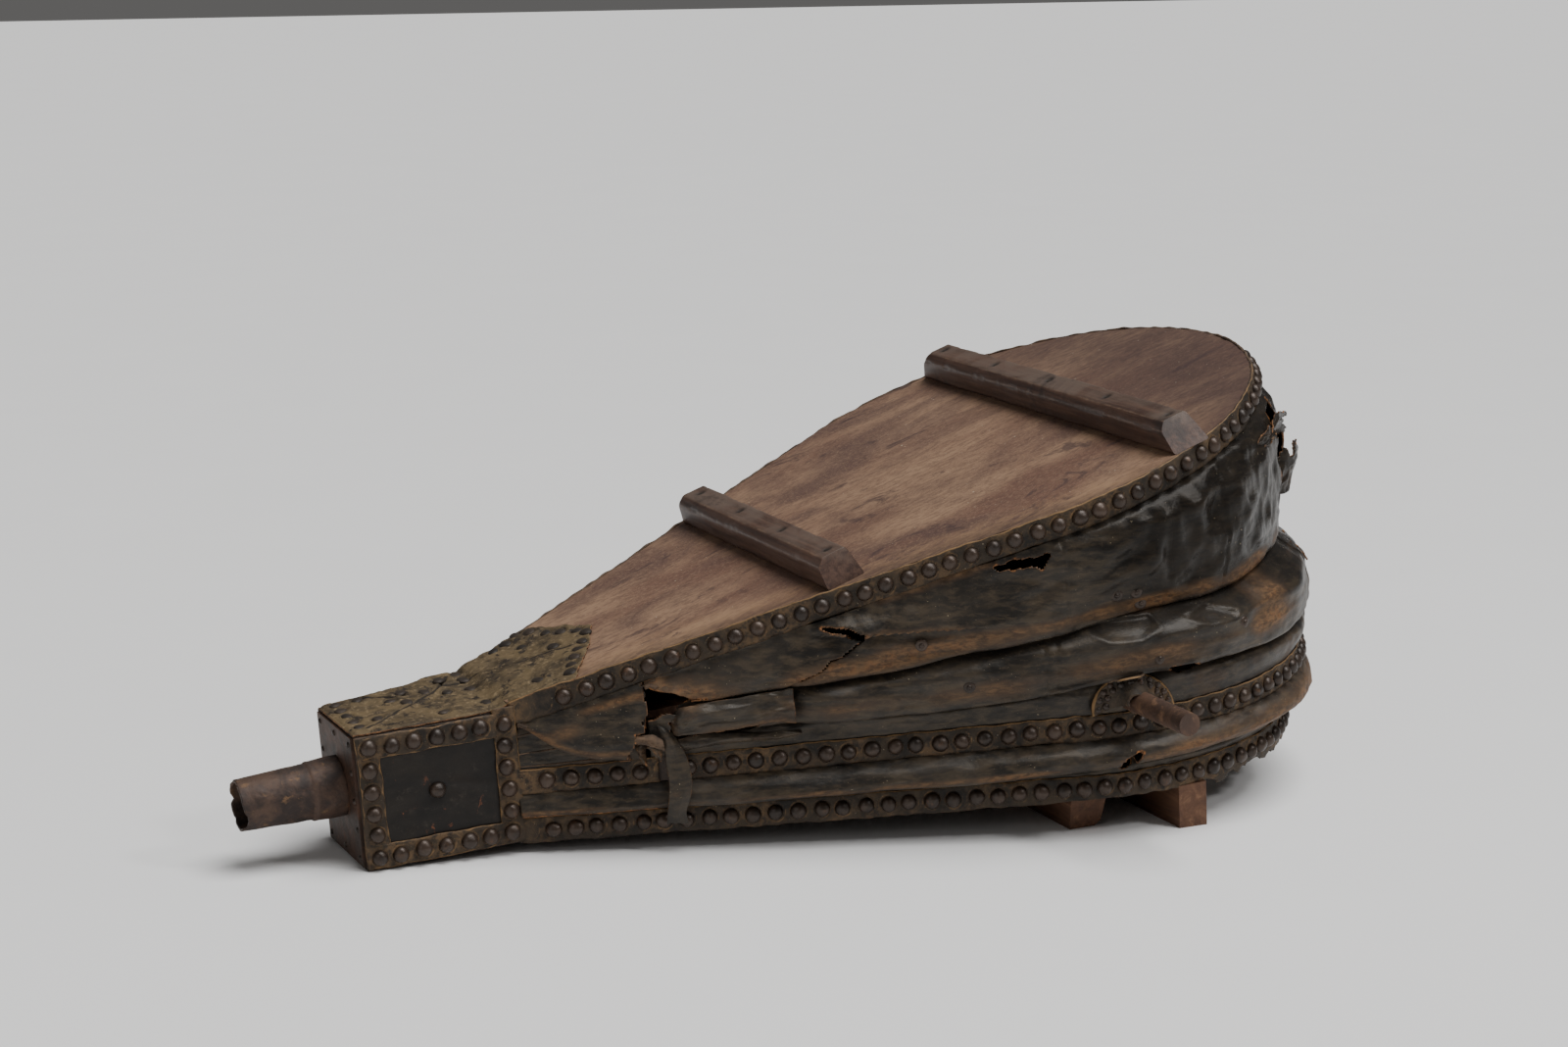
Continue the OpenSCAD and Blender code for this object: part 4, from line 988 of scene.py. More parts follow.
# ------------------------------------------------------------------ torn front of the near side
def wall_point(k, z, off):
    """Bench point outside the near walls at edge point k and bench height z."""
    k, z, off = np.broadcast_arrays(*(np.asarray(v, float) for v in (k, z, off)))
    share = np.clip((z - MIDDLE_TOP) / chamber_height(k), 0, 1)
    above = chamber_point(k, share, off)
    x0, y0 = edge(k, MIDDLE_BOARD, off)
    x1, y1 = edge(k, BOTTOM_BOARD, off)
    low = on_bottom_board(x1, y1, BOARD_T + 0 * off)
    high = on_middle_board(x0, y0, 0 * off)
    drop = np.clip((z - low[..., 2]) / (high[..., 2] - low[..., 2]), 0, 1)[..., None]
    below = low + (high - low) * drop
    point = np.where((z >= MIDDLE_TOP)[..., None], above, below)
    point[..., 2] = z
    return point


def patch(name, first, last, seed, bow, rough, wear, rows=46, cols=22, frayed=0.0):
    """A torn piece between two edges of (k, z, off) points, bowed outwards between them."""
    t = np.linspace(0, 1, rows)
    knots = np.linspace(0, 1, len(first))
    a, b = (through(knots, np.array(e, float), t)[:, None, :] for e in (first, last))
    u = np.linspace(0, 1, cols)[None, :, None]
    both = a + (b - a) * u
    k, z, off = both[..., 0], both[..., 1], both[..., 2]
    u, t = u[..., 0], t[:, None]
    off = off + bow * np.sin(math.pi * u) + rough * noise(t * 4 + 0 * u, u * 3, seed)
    z = z + 0.8 * rough * noise(t * 5, u * 3 + 7, seed + 3)
    ends = np.minimum(np.minimum(t, 1 - t) * rows, np.minimum(u, 1 - u) * cols)
    raw = np.exp(-ends / 1.2) * 0.55
    ridge = wear * (0.6 + 0.5 * noise(t * 3, u * 3, seed + 8))
    height = chamber_height(k)
    marks = wall_marks(k, (z - MIDDLE_TOP) / height, height, ridge, raw)
    keep = np.ones((rows - 1, cols - 1), bool)
    if frayed:
        tooth = frayed * (0.5 + 0.5 * noise(0 * t + 1.0, u * 6, seed + 5))
        keep = ((1 - t) > tooth)[:-1, :-1] & (u[:, :-1] >= 0)
    return sheet_mesh(name, wall_point(k, z, off), 2.6, TORN, marks, keep)


# Nails with washers driven into the leather wall: edge point k and share of height
WASHERS = [(18.4, 0.64), (20.1, 0.31), (27.4, 0.62), (28.4, 0.6), (28.6, 0.53), (28.6, 0.27), (33.4, 0.3)]


def washer_nails():
    rng = np.random.RandomState(64)
    parts = []
    for k, share in WASHERS:
        off = float(leather_off(k, share))
        seat, top, out = (chamber_point(np.array(k), np.array(share), np.array(off + d)) for d in (-0.6, 1.2, 10))
        parts.append(nail_head(rng, 10.0, 2.4, 1.9, seat, out))
        parts.append(nail_head(rng, 4.4, 3.4, 1.0, top, out))
    verts, faces, marks = joined(parts)
    with_top_board(new_mesh("wall_nails", verts, faces, ["stud"], marks), "wall_nails")


washer_nails()


def at_share(k, share):
    """Bench height at a share of the chamber's height."""
    return MIDDLE_TOP + share * float(chamber_height(np.array(float(k))))


def scrap(name, first, last, seed, bow=6):
    """A torn scrap of the wall between two edges of (k, share, mm above the leather) points."""
    ends = [[(k, at_share(k, share), float(leather_off(k, share)) + lift) for k, share, lift in side]
            for side in (first, last)]
    with_top_board(patch(name, *ends, seed, bow=bow, rough=3.2, wear=0.4, frayed=0.3), name)


scrap("rear_scrap_0", [(39.0, 0.9, 0.5), (41.0, 0.86, 0.5), (42.6, 0.8, 0.5)],
      [(39.8, 0.96, 13), (41.6, 0.93, 20), (43.2, 0.88, 16)], 351)
scrap("rear_scrap_1", [(42.6, 0.6, 16), (43.2, 0.7, 28), (42.8, 0.79, 24)],
      [(41.0, 0.6, 0.5), (41.3, 0.69, 0.5), (41.6, 0.78, 0.5)], 352)
scrap("rear_scrap_2", [(37.6, 0.93, 0.5), (38.4, 0.88, 0.5)], [(38.8, 0.97, 12), (39.9, 0.9, 14)], 353, bow=3)
scrap("rear_scrap_3", [(44.4, 0.25, 9), (45.6, 0.24, 7)], [(43.2, 0.36, 0.5), (46.0, 0.35, 0.5)], 354, bow=3)


# A leaf-shaped flap under the top strap, over a flat sheet
FRONT_FOLDS = [
    (0.2, 0.03, 0.95, 0, 1, 4, 0, 0, 0.0, 0.02),
    (0.7, 0.03, 0.8, 0, 1, 8, 0, 0, 0.0, 0.04),
    (2.1, 0.03, 0.4, 0, 1, 19, 0, 0, 0.0, 0.08),
    (3.4, 0.03, 0.22, 0, 1, 26, 0, 1, 0.0, 0.09),
    (4.6, 0.03, 0.17, 0, 1, 27, 0, 2, 0.0, 0.09),
    (6.6, 0.03, 0.17, 0, 1, 24, 0, 2, 0.0, 0.09),
]
FLAP_END = [
    [(6.05, 1.2), (5.85, 0.95), (6.0, 0.62), (5.7, 0.56), (5.72, 0.42), (5.45, 0.4), (5.4, 0.26), (5.0, 0.14),
     (5.1, -0.3), (9, -0.3), (9, 1.2)],
]
FLAT_END = [[(5.9, 1.2), (5.9, 0.4), (5.5, 0.3), (5.7, -0.3), (9, -0.3), (9, 1.2)]]
FLAT_FOLDS = [(k, 0.3, 0.7, 1, 1, 1, 0, 0, 0.0, 0.0) for k in (0.2, 3.0, 6.6)]


def flap_wear(k, share, height, table):
    """An orange rub across the flap's middle and along its lip."""
    crease = through(table[:, 0], table[:, 2], k)
    rub = np.exp(-(((k - 2.3) / 1.0) ** 2) - ((share - 0.62) / 0.15) ** 2)
    stripe = 0.8 * bell(share - 0.86, 0.07) * smooth((k - 2.0) / 2)
    lip = 0.7 * bell(share - crease, 0.07)
    return np.clip(0.1 + 0.7 * rub + stripe + lip, 0, 1.2)


def flat_wear(k, share, height, table):
    return 0.42 + 0.2 * noise(k * 0.8, share * 3, 55)


with_top_board(chamber_sheet("front_flat", 0.04, 6.2, FLAT_FOLDS, FLAT_END, 240, wear=flat_wear),
               "upper_leather_flat")
with_top_board(chamber_sheet("front_flap", 0.1, 6.6, FRONT_FOLDS, FLAP_END, 200, wear=flap_wear),
               "upper_leather_flap")

# A patch sewn over the second fold, its near end rolled and its lower edge ragged
with_top_board(patch(
    "upper_leather_patch",
    [(6.95, 160, 8), (7.1, 153, 19), (7.6, 151, 25), (8.8, 155, 29), (10.4, 158, 29), (11.4, 163, 28),
     (12.4, 158, 23)],
    [(7.2, 188, 8), (7.45, 196, 17), (8.0, 200, 21), (9.0, 204, 20), (10.6, 207, 20), (11.6, 208, 21),
     (12.5, 208, 20)],
    301, bow=8, rough=4.0, wear=0.65, rows=80, cols=34), "upper_leather_patch")
fixed_leather(patch(
    "upper_leather_under_patch",
    [(7.4, 121, 6), (8.2, 124, 11), (9.2, 128, 12), (10.6, 127, 9), (11.8, 128, 8), (12.6, 131, 6)],
    [(7.2, 143, 8), (8.0, 146, 12), (9.2, 146, 13), (10.6, 143, 11), (11.8, 141, 9), (12.6, 137, 6)],
    305, bow=6, rough=2.2, wear=0.35, rows=90, cols=16))
# Curled scraps in the tear, and the strip that hangs from it past both straps
fixed_leather(patch("torn_scroll", [(5.0, 148, 14), (5.3, 156, 24), (5.9, 158, 22), (6.5, 148, 14)],
                    [(5.1, 134, 8), (5.5, 146, 16), (6.0, 146, 28), (6.6, 130, 20)], 311, bow=9, rough=3, wear=0.75))
fixed_leather(patch("torn_curl", [(5.3, 150, 20), (5.35, 136, 26), (5.5, 122, 22), (5.7, 112, 18)],
                    [(5.9, 146, 14), (5.8, 130, 15), (5.8, 118, 13), (5.85, 108, 16)],
                    321, bow=8, rough=2.5, wear=0.8, frayed=0.25))
fixed_leather(patch("torn_tip", [(5.8, 140, 26), (6.0, 132, 30), (6.2, 122, 26), (6.35, 114, 18)],
                    [(6.3, 148, 18), (6.45, 138, 22), (6.5, 126, 20), (6.45, 113, 14)],
                    331, bow=6, rough=2, wear=0.9))
fixed_leather(patch("hanging_strip",
                    [(6.25, 172, 6), (6.4, 158, 15), (6.55, 138, 18), (6.6, 112, 20), (6.65, 84, 25), (6.65, 56, 30),
                     (6.6, 34, 29), (6.55, 12, 24)],
                    [(6.3, 176, 4), (6.85, 162, 12), (7.25, 140, 15), (7.55, 112, 19), (7.65, 84, 25), (7.6, 56, 31),
                     (7.45, 34, 30), (7.55, 11, 24)],
                    341, bow=4, rough=1.2, wear=0.3, rows=90, cols=20, frayed=0.03))


# ------------------------------------------------------------------ lower chamber
# Lip of the lower roll at edge point k: its share of the height, and how far the roll stands out
LOWER_ROLL = [
    (0.2, 0.1, 12), (6, 0.12, 20), (14, 0.14, 27), (20, 0.15, 29), (24, 0.2, 29), (28, 0.34, 28), (34, 0.4, 31),
    (49.5, 0.4, 36), (65, 0.38, 33), (76, 0.2, 30), (88, 0.14, 22), (98.8, 0.1, 12),
]


def lower_sheet():
    rows, cols = int(98.6 * 10), 72
    k = np.linspace(0.2, 98.8, rows)
    t = np.linspace(0, 1, cols)
    table = np.array(LOWER_ROLL, float)
    lip, out = (through(table[:, 0], table[:, c], k) for c in (1, 2))
    one = np.ones_like(lip)
    heights = np.stack([0 * one, 0.5 * lip, lip + 0.05, lip - 0.03, lip + 0.08, lip + 0.26 * (1 - lip),
                        lip + 0.55 * (1 - lip), lip + 0.8 * (1 - lip), one])
    offsets = np.stack([one, 0.1 * out, -0.15 * out, 0.7 * out, 0.97 * out, 1.04 * out, 0.86 * out, 0.5 * out, one])
    knots = np.arange(len(heights)) / (len(heights) - 1)
    share, off = through(knots, heights, t).T, through(knots, offsets, t).T
    k = k[:, None] + 0 * share
    t = t[None, :]
    held = smooth(np.minimum(t, 1 - t) * 7)
    off = off + held * (2.8 * noise(k * 0.3, t * 2.5, 300) + 1.0 * noise(k * 1.0, t * 6, 310))
    share = share + held * 0.03 * noise(k * 0.3, t * 2, 320)
    tall = MIDDLE_Z - BOARD_T + edge(k, BOTTOM_BOARD)[0] * math.sin(BOTTOM_FALL)
    far = np.hypot((k - 27.3) * EDGE_STEP, (share - 0.38) * tall) - 15 + 4 * noise(k * 3, share * 6, 330)
    raw = np.maximum(np.exp(-np.clip(far, 0, None) / 4), 0.8 * bell(share - lip[:, None], 0.05) * (k < 6.5))
    x0, y0 = edge(k, BOTTOM_BOARD, off)
    x1, y1 = edge(k, MIDDLE_BOARD, off)
    low = on_bottom_board(x0, y0, BOARD_T + 0.6 + 0 * off)
    high = on_middle_board(x1, y1, -0.6 + 0 * off)
    wave = 0.7 + 0.5 * noise(k * 0.4, share * 3, 340)
    ridge = (0.85 * bell(share - lip[:, None] - 0.12, 0.14)
             + 0.3 * bell(share - 0.75, 0.15)) * wave
    ridge = ridge + 0.35 * smooth((k - 26) / 4) * smooth((48 - k) / 6)
    cells = (far[:-1, :-1] + far[1:, 1:]) / 2
    return sheet_mesh("lower_leather_roll", low + (high - low) * share[..., None], 3.0, TORN,
                      wall_marks(k, share, tall, ridge, raw), cells > 0)


lower = lower_sheet()
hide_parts("lower_leather")
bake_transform(lower)


# ------------------------------------------------------------------ head block's leathers
def edge_slope(board):
    """Rise of a board's half width per mm behind its hinge, along the straight sides."""
    x, y = edge(np.array([1.0, 2.0]), board)
    return -(y[1] - y[0]) / (x[1] - x[0])


SIDE_ANGLE = math.atan2(NECK_HALF - HEAD_FRONT_WIDTH / 2, HEAD_LENGTH)
SIDE_LENGTH = math.hypot(NECK_HALF - HEAD_FRONT_WIDTH / 2, HEAD_LENGTH)
PANEL_Z, PANEL_H, FRAME_W, STUD_ROW = 3.0, 206.0, 36.0, 18.0
SIDES = {"near": -1, "far": 1}


def head_side(side, x, z, off):
    """Bench point on a side of the block: x along it, off outwards."""
    c, n = math.cos(SIDE_ANGLE), math.sin(SIDE_ANGLE)
    x, z, off = np.broadcast_arrays(x, z, off)
    return np.stack([x * c - off * n, side * (HEAD_FRONT_WIDTH / 2 + x * n + off * c), z + 0.0 * x], -1)


def flat_sheet(name, points, thickness, materials, ridge=0.0, raw=0.0):
    zero = np.zeros(points.shape[:2])
    return sheet_mesh(name, points, thickness, materials, {"ridge": zero + ridge, "raw": zero + raw})


def band_rim(t):
    """1 on the cut edges of a band whose width runs over t from 0 to 1."""
    return smooth(1 - np.minimum(t, 1 - t) * 12)


def facing(points, side):
    """Rows in the order that puts a sheet's outside outwards on this side."""
    return points if side < 0 else points[::-1]


def head_sides():
    low, high, rear_x = PANEL_Z + STUD_ROW, PANEL_Z + PANEL_H - STUD_ROW, SIDE_LENGTH - STUD_ROW + 10
    spots = [(STUD_ROW, low + (high - low) * i / 5, STRAP_T) for i in range(6)]
    spots += [(STUD_ROW + (rear_x - STUD_ROW) * i / 6, z, STRAP_T) for i in range(1, 7) for z in (low, high)]
    spots += [(rear_x, low + (high - low) * i / 5, STRAP_T) for i in range(1, 5)]
    spots += [(SIDE_LENGTH / 2, (low + high) / 2, -1.2)]
    for n, (label, side) in enumerate(SIDES.items()):
        x = np.linspace(0, SIDE_LENGTH, 90)[:, None]
        z = np.linspace(PANEL_Z, PANEL_Z + PANEL_H, 80)[None, :]
        buckle = 1.3 * noise(x / 60, z / 45, 500 + n) + 0.5 * noise(x / 16, z / 12, 510 + n)
        crease = 1.4 * bell(z - 150 + 0.25 * x, 7) * bell(x - 150, 60)
        seat = 2.0 * np.exp(-(np.hypot(x - SIDE_LENGTH / 2, z - 106) / 14) ** 2)
        points = head_side(side, x, z, PANEL_T + buckle * 0.6 + crease - seat)
        attach(flat_sheet(f"head_{label}_panel", facing(points, side), PANEL_T - 0.8, ["panel", "flesh", "flesh"]),
               "frame", "chamber_leather", "head_side_panels")
        across = np.linspace(0, 1, 14)[None, :]
        rear, top = SIDE_LENGTH - FRAME_W, PANEL_Z + PANEL_H - FRAME_W
        runs = {
            "front": (True, 0.0, PANEL_Z, PANEL_Z + PANEL_H),
            "rear": (True, rear + 12, PANEL_Z, PANEL_Z + PANEL_H + 8),
            "lower": (False, PANEL_Z, 0.5, SIDE_LENGTH), "upper": (False, top, 0.5, SIDE_LENGTH),
        }
        for m, (place, (upright, at, start, end)) in enumerate(runs.items()):
            along = np.linspace(start, end, 90)[:, None]
            wander = 1.4 * noise(along / 40, 0, 520 + 10 * n + m)
            cross = at + across * FRAME_W + wander * (across - 0.5) * 2 + 0.5 * noise(along / 11, 3, 540 + m)
            lift = PANEL_T + STRAP_T + 0.5 * noise(along / 20, across * 3, 560 + m) + (0 if upright else 0.5)
            lift = lift - 1.2 * (1 - smooth(np.minimum(across, 1 - across) * 9))
            a, b = (cross, along + 0 * across) if upright else (along + 0 * across, cross)
            points = head_side(side, a, b, lift)
            dust = band_rim(across) * 0.8 + 0 * a
            for x0, z0, _ in spots:
                dust = np.maximum(dust, nail_ring(np.hypot(a - x0, b - z0)))
            points, dust = (facing(grid, -side if upright else side) for grid in (points, dust))
            attach(flat_sheet(f"head_{label}_{place}_strap", points, STRAP_T - 0.6, BANDED, ridge=dust),
                   "frame", "strap_leather", "head_side_straps")
    rng = np.random.RandomState(61)
    parts = []
    for side in SIDES.values():
        for x, z, lift in spots:
            x, z = x + rng.uniform(-1.8, 1.8), z + rng.uniform(-1.8, 1.8)
            seat, out = (head_side(side, x, z, PANEL_T + lift + d) for d in (0, 10))
            parts.append(nail_head(rng, DOME_R, DOME_H, 1.0, seat, out))
    nail_piece("head_side_nails", parts, "stud", ["head_side_studs"], "frame")


# Plan of the cover and hinge leather: u from the nose, over the hinge and up the top board; y to the far side
COVER_Z, COVER_TIP, COVER_REACH = HEAD_HEIGHT + COVER_T, 22.0, 202.0
BEND_START, BEND_RUN = 216.0, 36.0
COVER_SEAMS = [
    [(26, -74), (70, -38), (155, 27), (182, 50), (239, 49)], [(239, 49), (288, 25), (340, 5), (389, -19)],
    [(58, 78), (110, 50)], [(182, 50), (205, 80)],
]
FLAT_NAILS = [(22, 76), (21, 42), (20, 9), (20, -24), (19, -57), (57, 76), (56, -32), (100, 42), (122, 60), (118, 17),
              (156, 46), (188, 70), (187, 28), (222, 88), (224, 58), (222, 20), (219, -60), (150, -66)]
HINGE_NAILS = [(105, -116), (119, -90), (133, -65), (149, -40), (166, -16), (184, 8), (178, 34), (160, 60), (143, 86),
               (126, 114), (108, 138), (84, 118), (60, 112), (62, -84), (96, 74), (128, 12)]


def cover_half(u):
    s = np.maximum(u - HINGE_X, 0)
    on_block = HEAD_FRONT_WIDTH / 2 + (NECK_HALF - HEAD_FRONT_WIDTH / 2) * np.minimum(u, HINGE_X) / HEAD_LENGTH
    return on_block + s * edge_slope(TOP_BOARD) + 2.5


def cover_point(u, y, lift):
    """Bench point of the cover; it bends up from the block to the board at the hinge."""
    w = smooth((u - BEND_START) / BEND_RUN)[..., None]
    flat = np.stack(np.broadcast_arrays(u, y, COVER_Z + lift), -1)
    return flat * (1 - w) + on_top_board(u - HINGE_X, y, COVER_T + lift) * w


def plan_distance(u, y, corners):
    return np.minimum.reduce([segment_distance(u, y, *ends)[0] for ends in zip(corners[:-1], corners[1:])])


def head_cover():
    v = np.linspace(-1, 1, 150)[None, :]
    t = np.linspace(0, 1, 230)[:, None]
    wide = v * 150
    end = HINGE_X + COVER_REACH - np.where(wide < COVER_TIP, 0.58, 0.66) * np.abs(wide - COVER_TIP)
    end = end + 2.0 * noise(wide / 14, 0, 600)
    u = -1.5 + t * (end + 1.5)
    y = v * (cover_half(u) + 1.6 * noise(u / 26, 5, 601)) + 2.4 * (v > 0.97) * noise(u / 12, 9, 602)
    lift = 1.5 * noise(u / 46, y / 38, 603) + 0.8 * noise(u / 14, y / 11, 604)
    lift = lift + 1.0 * noise(u / 70, y / 8, 606) * smooth((u - 30) / 60)
    lift = lift + 9.0 * smooth((v - 0.2) / 0.7) * bell(u - 190, 75)
    raw = 0 * lift
    for corners in COVER_SEAMS:
        far = plan_distance(u, y, corners)
        lift = lift - 3.2 * bell(far, 2.2) + 1.6 * bell(far - 5, 4)
        raw = np.maximum(raw, 1.3 * bell(far, 2.8))
    seat_lift = lift
    spots = FLAT_NAILS + [(s + HINGE_X, q) for s, q in HINGE_NAILS]
    for x0, y0 in spots:
        far = np.hypot(u - x0, y - y0)
        lift = lift - 2.4 * bell(far, 11) + 1.0 * bell(far - 16, 5)
        raw = np.maximum(raw, 0.6 * bell(far - 11, 3))
    lift = lift - 2.5 * smooth(1 - np.minimum(1 - np.abs(v), 1) * 26) - 3.0 * smooth(1 - t * 60)
    piece = flat_sheet("head_cover", cover_point(u, y, np.maximum(lift, -2.6)), COVER_T - 1.2,
                       ["cover", "raw", "flesh"], raw=raw)
    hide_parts("head_top_cover", "top_hinge_leather")
    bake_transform(piece)
    rng = np.random.RandomState(62)
    for name, nails, node, body, shift in (("cover_nails", FLAT_NAILS, "head_top_studs", "frame", 0),
                                           ("hinge_nails", HINGE_NAILS, "top_hinge_studs", "top_board", HINGE_X)):
        parts = []
        for x, q in nails:
            base = seat_lift.flat[np.argmin(np.hypot(u - x - shift, y - q))]
            seat, out = (cover_point(np.array(x + shift), np.array(float(q)), base + d) for d in (-2.4, 10.0))
            parts.append(nail_head(rng, 10.6, 4.2, 1.5, seat, out, rng.uniform(-0.5, 0.5), 1.13))
        nail_piece(name, parts, "flat_stud", [node], body)


head_sides()
head_cover()


# ------------------------------------------------------------------ nozzle
NOZZLE_Z, NOZZLE_LENGTH, PLATE_T = 113.0, 158.0, 5.0
MOUTH_R, ROOT_R, LAP_LENGTH = 35.0, 41.0, 48.0


def nozzle():
    """Rolled iron cone with a ragged mouth and a lap ring, dented along its length."""
    around, along = 96, 90
    a = np.linspace(0, 2 * math.pi, around + 1)[:, None]
    ca, sa = np.cos(a), np.sin(a)
    t = np.linspace(0, 1, along)[None, :]
    ragged = 4.5 * noise(2.2 * ca + 3, 2.2 * sa + 3, 700) + 9 * bell(a - 4.2, 0.35)
    x = -PLATE_T - NOZZLE_LENGTH + np.maximum(ragged, -1.0) * (1 - t) ** 3 + NOZZLE_LENGTH * t
    behind = x + PLATE_T + LAP_LENGTH
    r = MOUTH_R + (ROOT_R - MOUTH_R) * t + 1.6 * smooth(behind / 2.5) + 1.1 * bell(behind - 1, 2.5)
    r = r + 1.0 * noise(1.6 * ca + 9, 1.6 * sa + t * 4 + 9, 710)
    r = r + 0.35 * noise(9 * ca, 9 * sa + t * 20, 711)
    seam = np.minimum(np.abs(a - 1.2), 2 * math.pi - np.abs(a - 1.2))
    r = r + 1.1 * smooth(1 - seam / 0.16) * (behind < 0) - 0.8 * bell(1 - t, 0.012)
    points = np.stack([x, r * sa, NOZZLE_Z + r * ca], -1)
    piece = sheet_mesh("nozzle_cone", points, 4.2, ["nozzle", "nozzle", "nozzle"],
                       {"tint": 0.5 * bell(behind, 5), "raw": 0 * r})
    with edited(piece.data) as bm:
        bmesh.ops.remove_doubles(bm, verts=bm.verts, dist=0.00002)
    attach(piece, "frame", "nozzle_iron", "nozzle")


nozzle()


# ------------------------------------------------------------------ battens
def worn_batten(name, node, s0, half, slope, base, h, nails, seed):
    """A cross batten with rounded, nicked corners; its nails are sunk in its top."""
    chamfer = 12.0
    corners = np.array([[0, 0], [0, h - chamfer], [chamfer, h], [base - chamfer, h], [base, 0]])
    sides = np.roll(corners, -1, 0) - corners
    lengths = np.hypot(*sides.T)
    run = np.cumsum(lengths)
    at = np.linspace(0, run[-1], 97)[:-1]
    i = np.searchsorted(run, at, side="right")
    share = (at - (run[i] - lengths[i])) / lengths[i]
    ring = corners[i] + sides[i] * share[:, None]
    for _ in range(3):
        ring = (np.roll(ring, 1, 0) + 2 * ring + np.roll(ring, -1, 0)) / 4
    near_corner = np.min(np.hypot(*(ring[:, None] - corners[None, 1:4]).transpose(2, 0, 1)), 1)
    v = np.linspace(-1, 1, int(half * 2 / 3))[:, None]
    sx, sz = ring[:, 0][None, :], ring[:, 1][None, :]
    y = v * (half - slope * sz / h)
    nick = np.exp(-near_corner / 3)[None, :] * np.clip(noise(y / 26, sx / 30, seed), 0, 1) * 2.6
    wobble = 0.5 * noise(y / 60, (sx + sz) / 30, seed + 3)
    middle = np.array([base / 2, h / 2])
    out = ring - middle
    out = out / np.hypot(*out.T)[:, None]
    s = sx + (wobble - nick) * out[:, 0][None, :]
    z = sz + (wobble - nick) * out[:, 1][None, :]
    # top marks the top face, which the wood's material greys as dust and as painted light from above
    top = smooth((sz - h + 2) / 1.5) + 0 * y
    raw = 0 * y
    for q in nails:
        far = np.hypot((s - base / 2) * 0.8, y - q)
        z = z - 3.0 * smooth(1 - far / 11) * (sz > h - 3)
        raw = np.maximum(raw, smooth(1 - far / 13) * (sz > h - 3))
    z = np.maximum(z, 0.3)
    points = on_top_board(s0 + s, y, z)
    rows, cols = y.shape
    verts = to_row(points).reshape(-1, 3)
    a = np.arange(rows * cols).reshape(rows, cols)
    b = np.roll(a, -1, 1)
    faces = np.stack([a[:-1], a[1:], b[1:], b[:-1]], -1).reshape(-1, 4).tolist()
    faces += [a[0].tolist(), a[-1][::-1].tolist()]
    # ridge marks the top corners, lightened as rubbed wear and as a painted edge highlight
    marks = {"ridge": (np.exp(-near_corner / 4)[None, :] + 0 * y).ravel(), "top": top.ravel(), "raw": raw.ravel()}
    piece = new_mesh(name, verts, faces, ["batten"], marks)
    with edited(piece.data) as bm:
        bmesh.ops.recalc_face_normals(bm, faces=bm.faces)
    for face in piece.data.polygons[-2:]:
        face.use_smooth = False
    attach(piece, "top_board", "batten_wood", node)


BATTEN_BASE, BATTEN_H = 65.0, 48.0
FRONT_BATTEN, REAR_BATTEN = 482.0, 1036.0
FRONT_SUNK, REAR_SUNK = np.linspace(-240, 240, 4), np.linspace(-366, 366, 5)


def batten_nails():
    rng = np.random.RandomState(63)
    sunk = []
    for s0, nails in ((FRONT_BATTEN, FRONT_SUNK), (REAR_BATTEN, REAR_SUNK)):
        for q in nails:
            at = np.array(s0 + BATTEN_BASE / 2), np.array(q)
            seat, out = (on_top_board(*at, np.array(BATTEN_H + d)) for d in (-3.6, 8))
            sunk.append(nail_head(rng, 7.5, 1.6, 1.4, seat, out, 0.0, 1.3))
    nail_piece("batten_nails", sunk, "flat_stud", ["top_batten_nails"], "top_board")


worn_batten("front_batten", "top_batten_front", FRONT_BATTEN, 278.0, 12.0, BATTEN_BASE, BATTEN_H, FRONT_SUNK, 800)
worn_batten("rear_batten", "top_batten_rear", REAR_BATTEN, 412.0, 28.0, BATTEN_BASE, BATTEN_H, REAR_SUNK, 810)
batten_nails()


# ------------------------------------------------------------------ trunnion gussets
GUSSET_HALF, GUSSET_HEIGHT, BAR_LIFT = 72.0, 64.0, 19.3
search = np.linspace(SIDE_N - 5, SIDE_N + 10, 600)
TRUNNION_K = float(np.interp(TRUNNION_S, edge(search, MIDDLE_BOARD)[0], search))


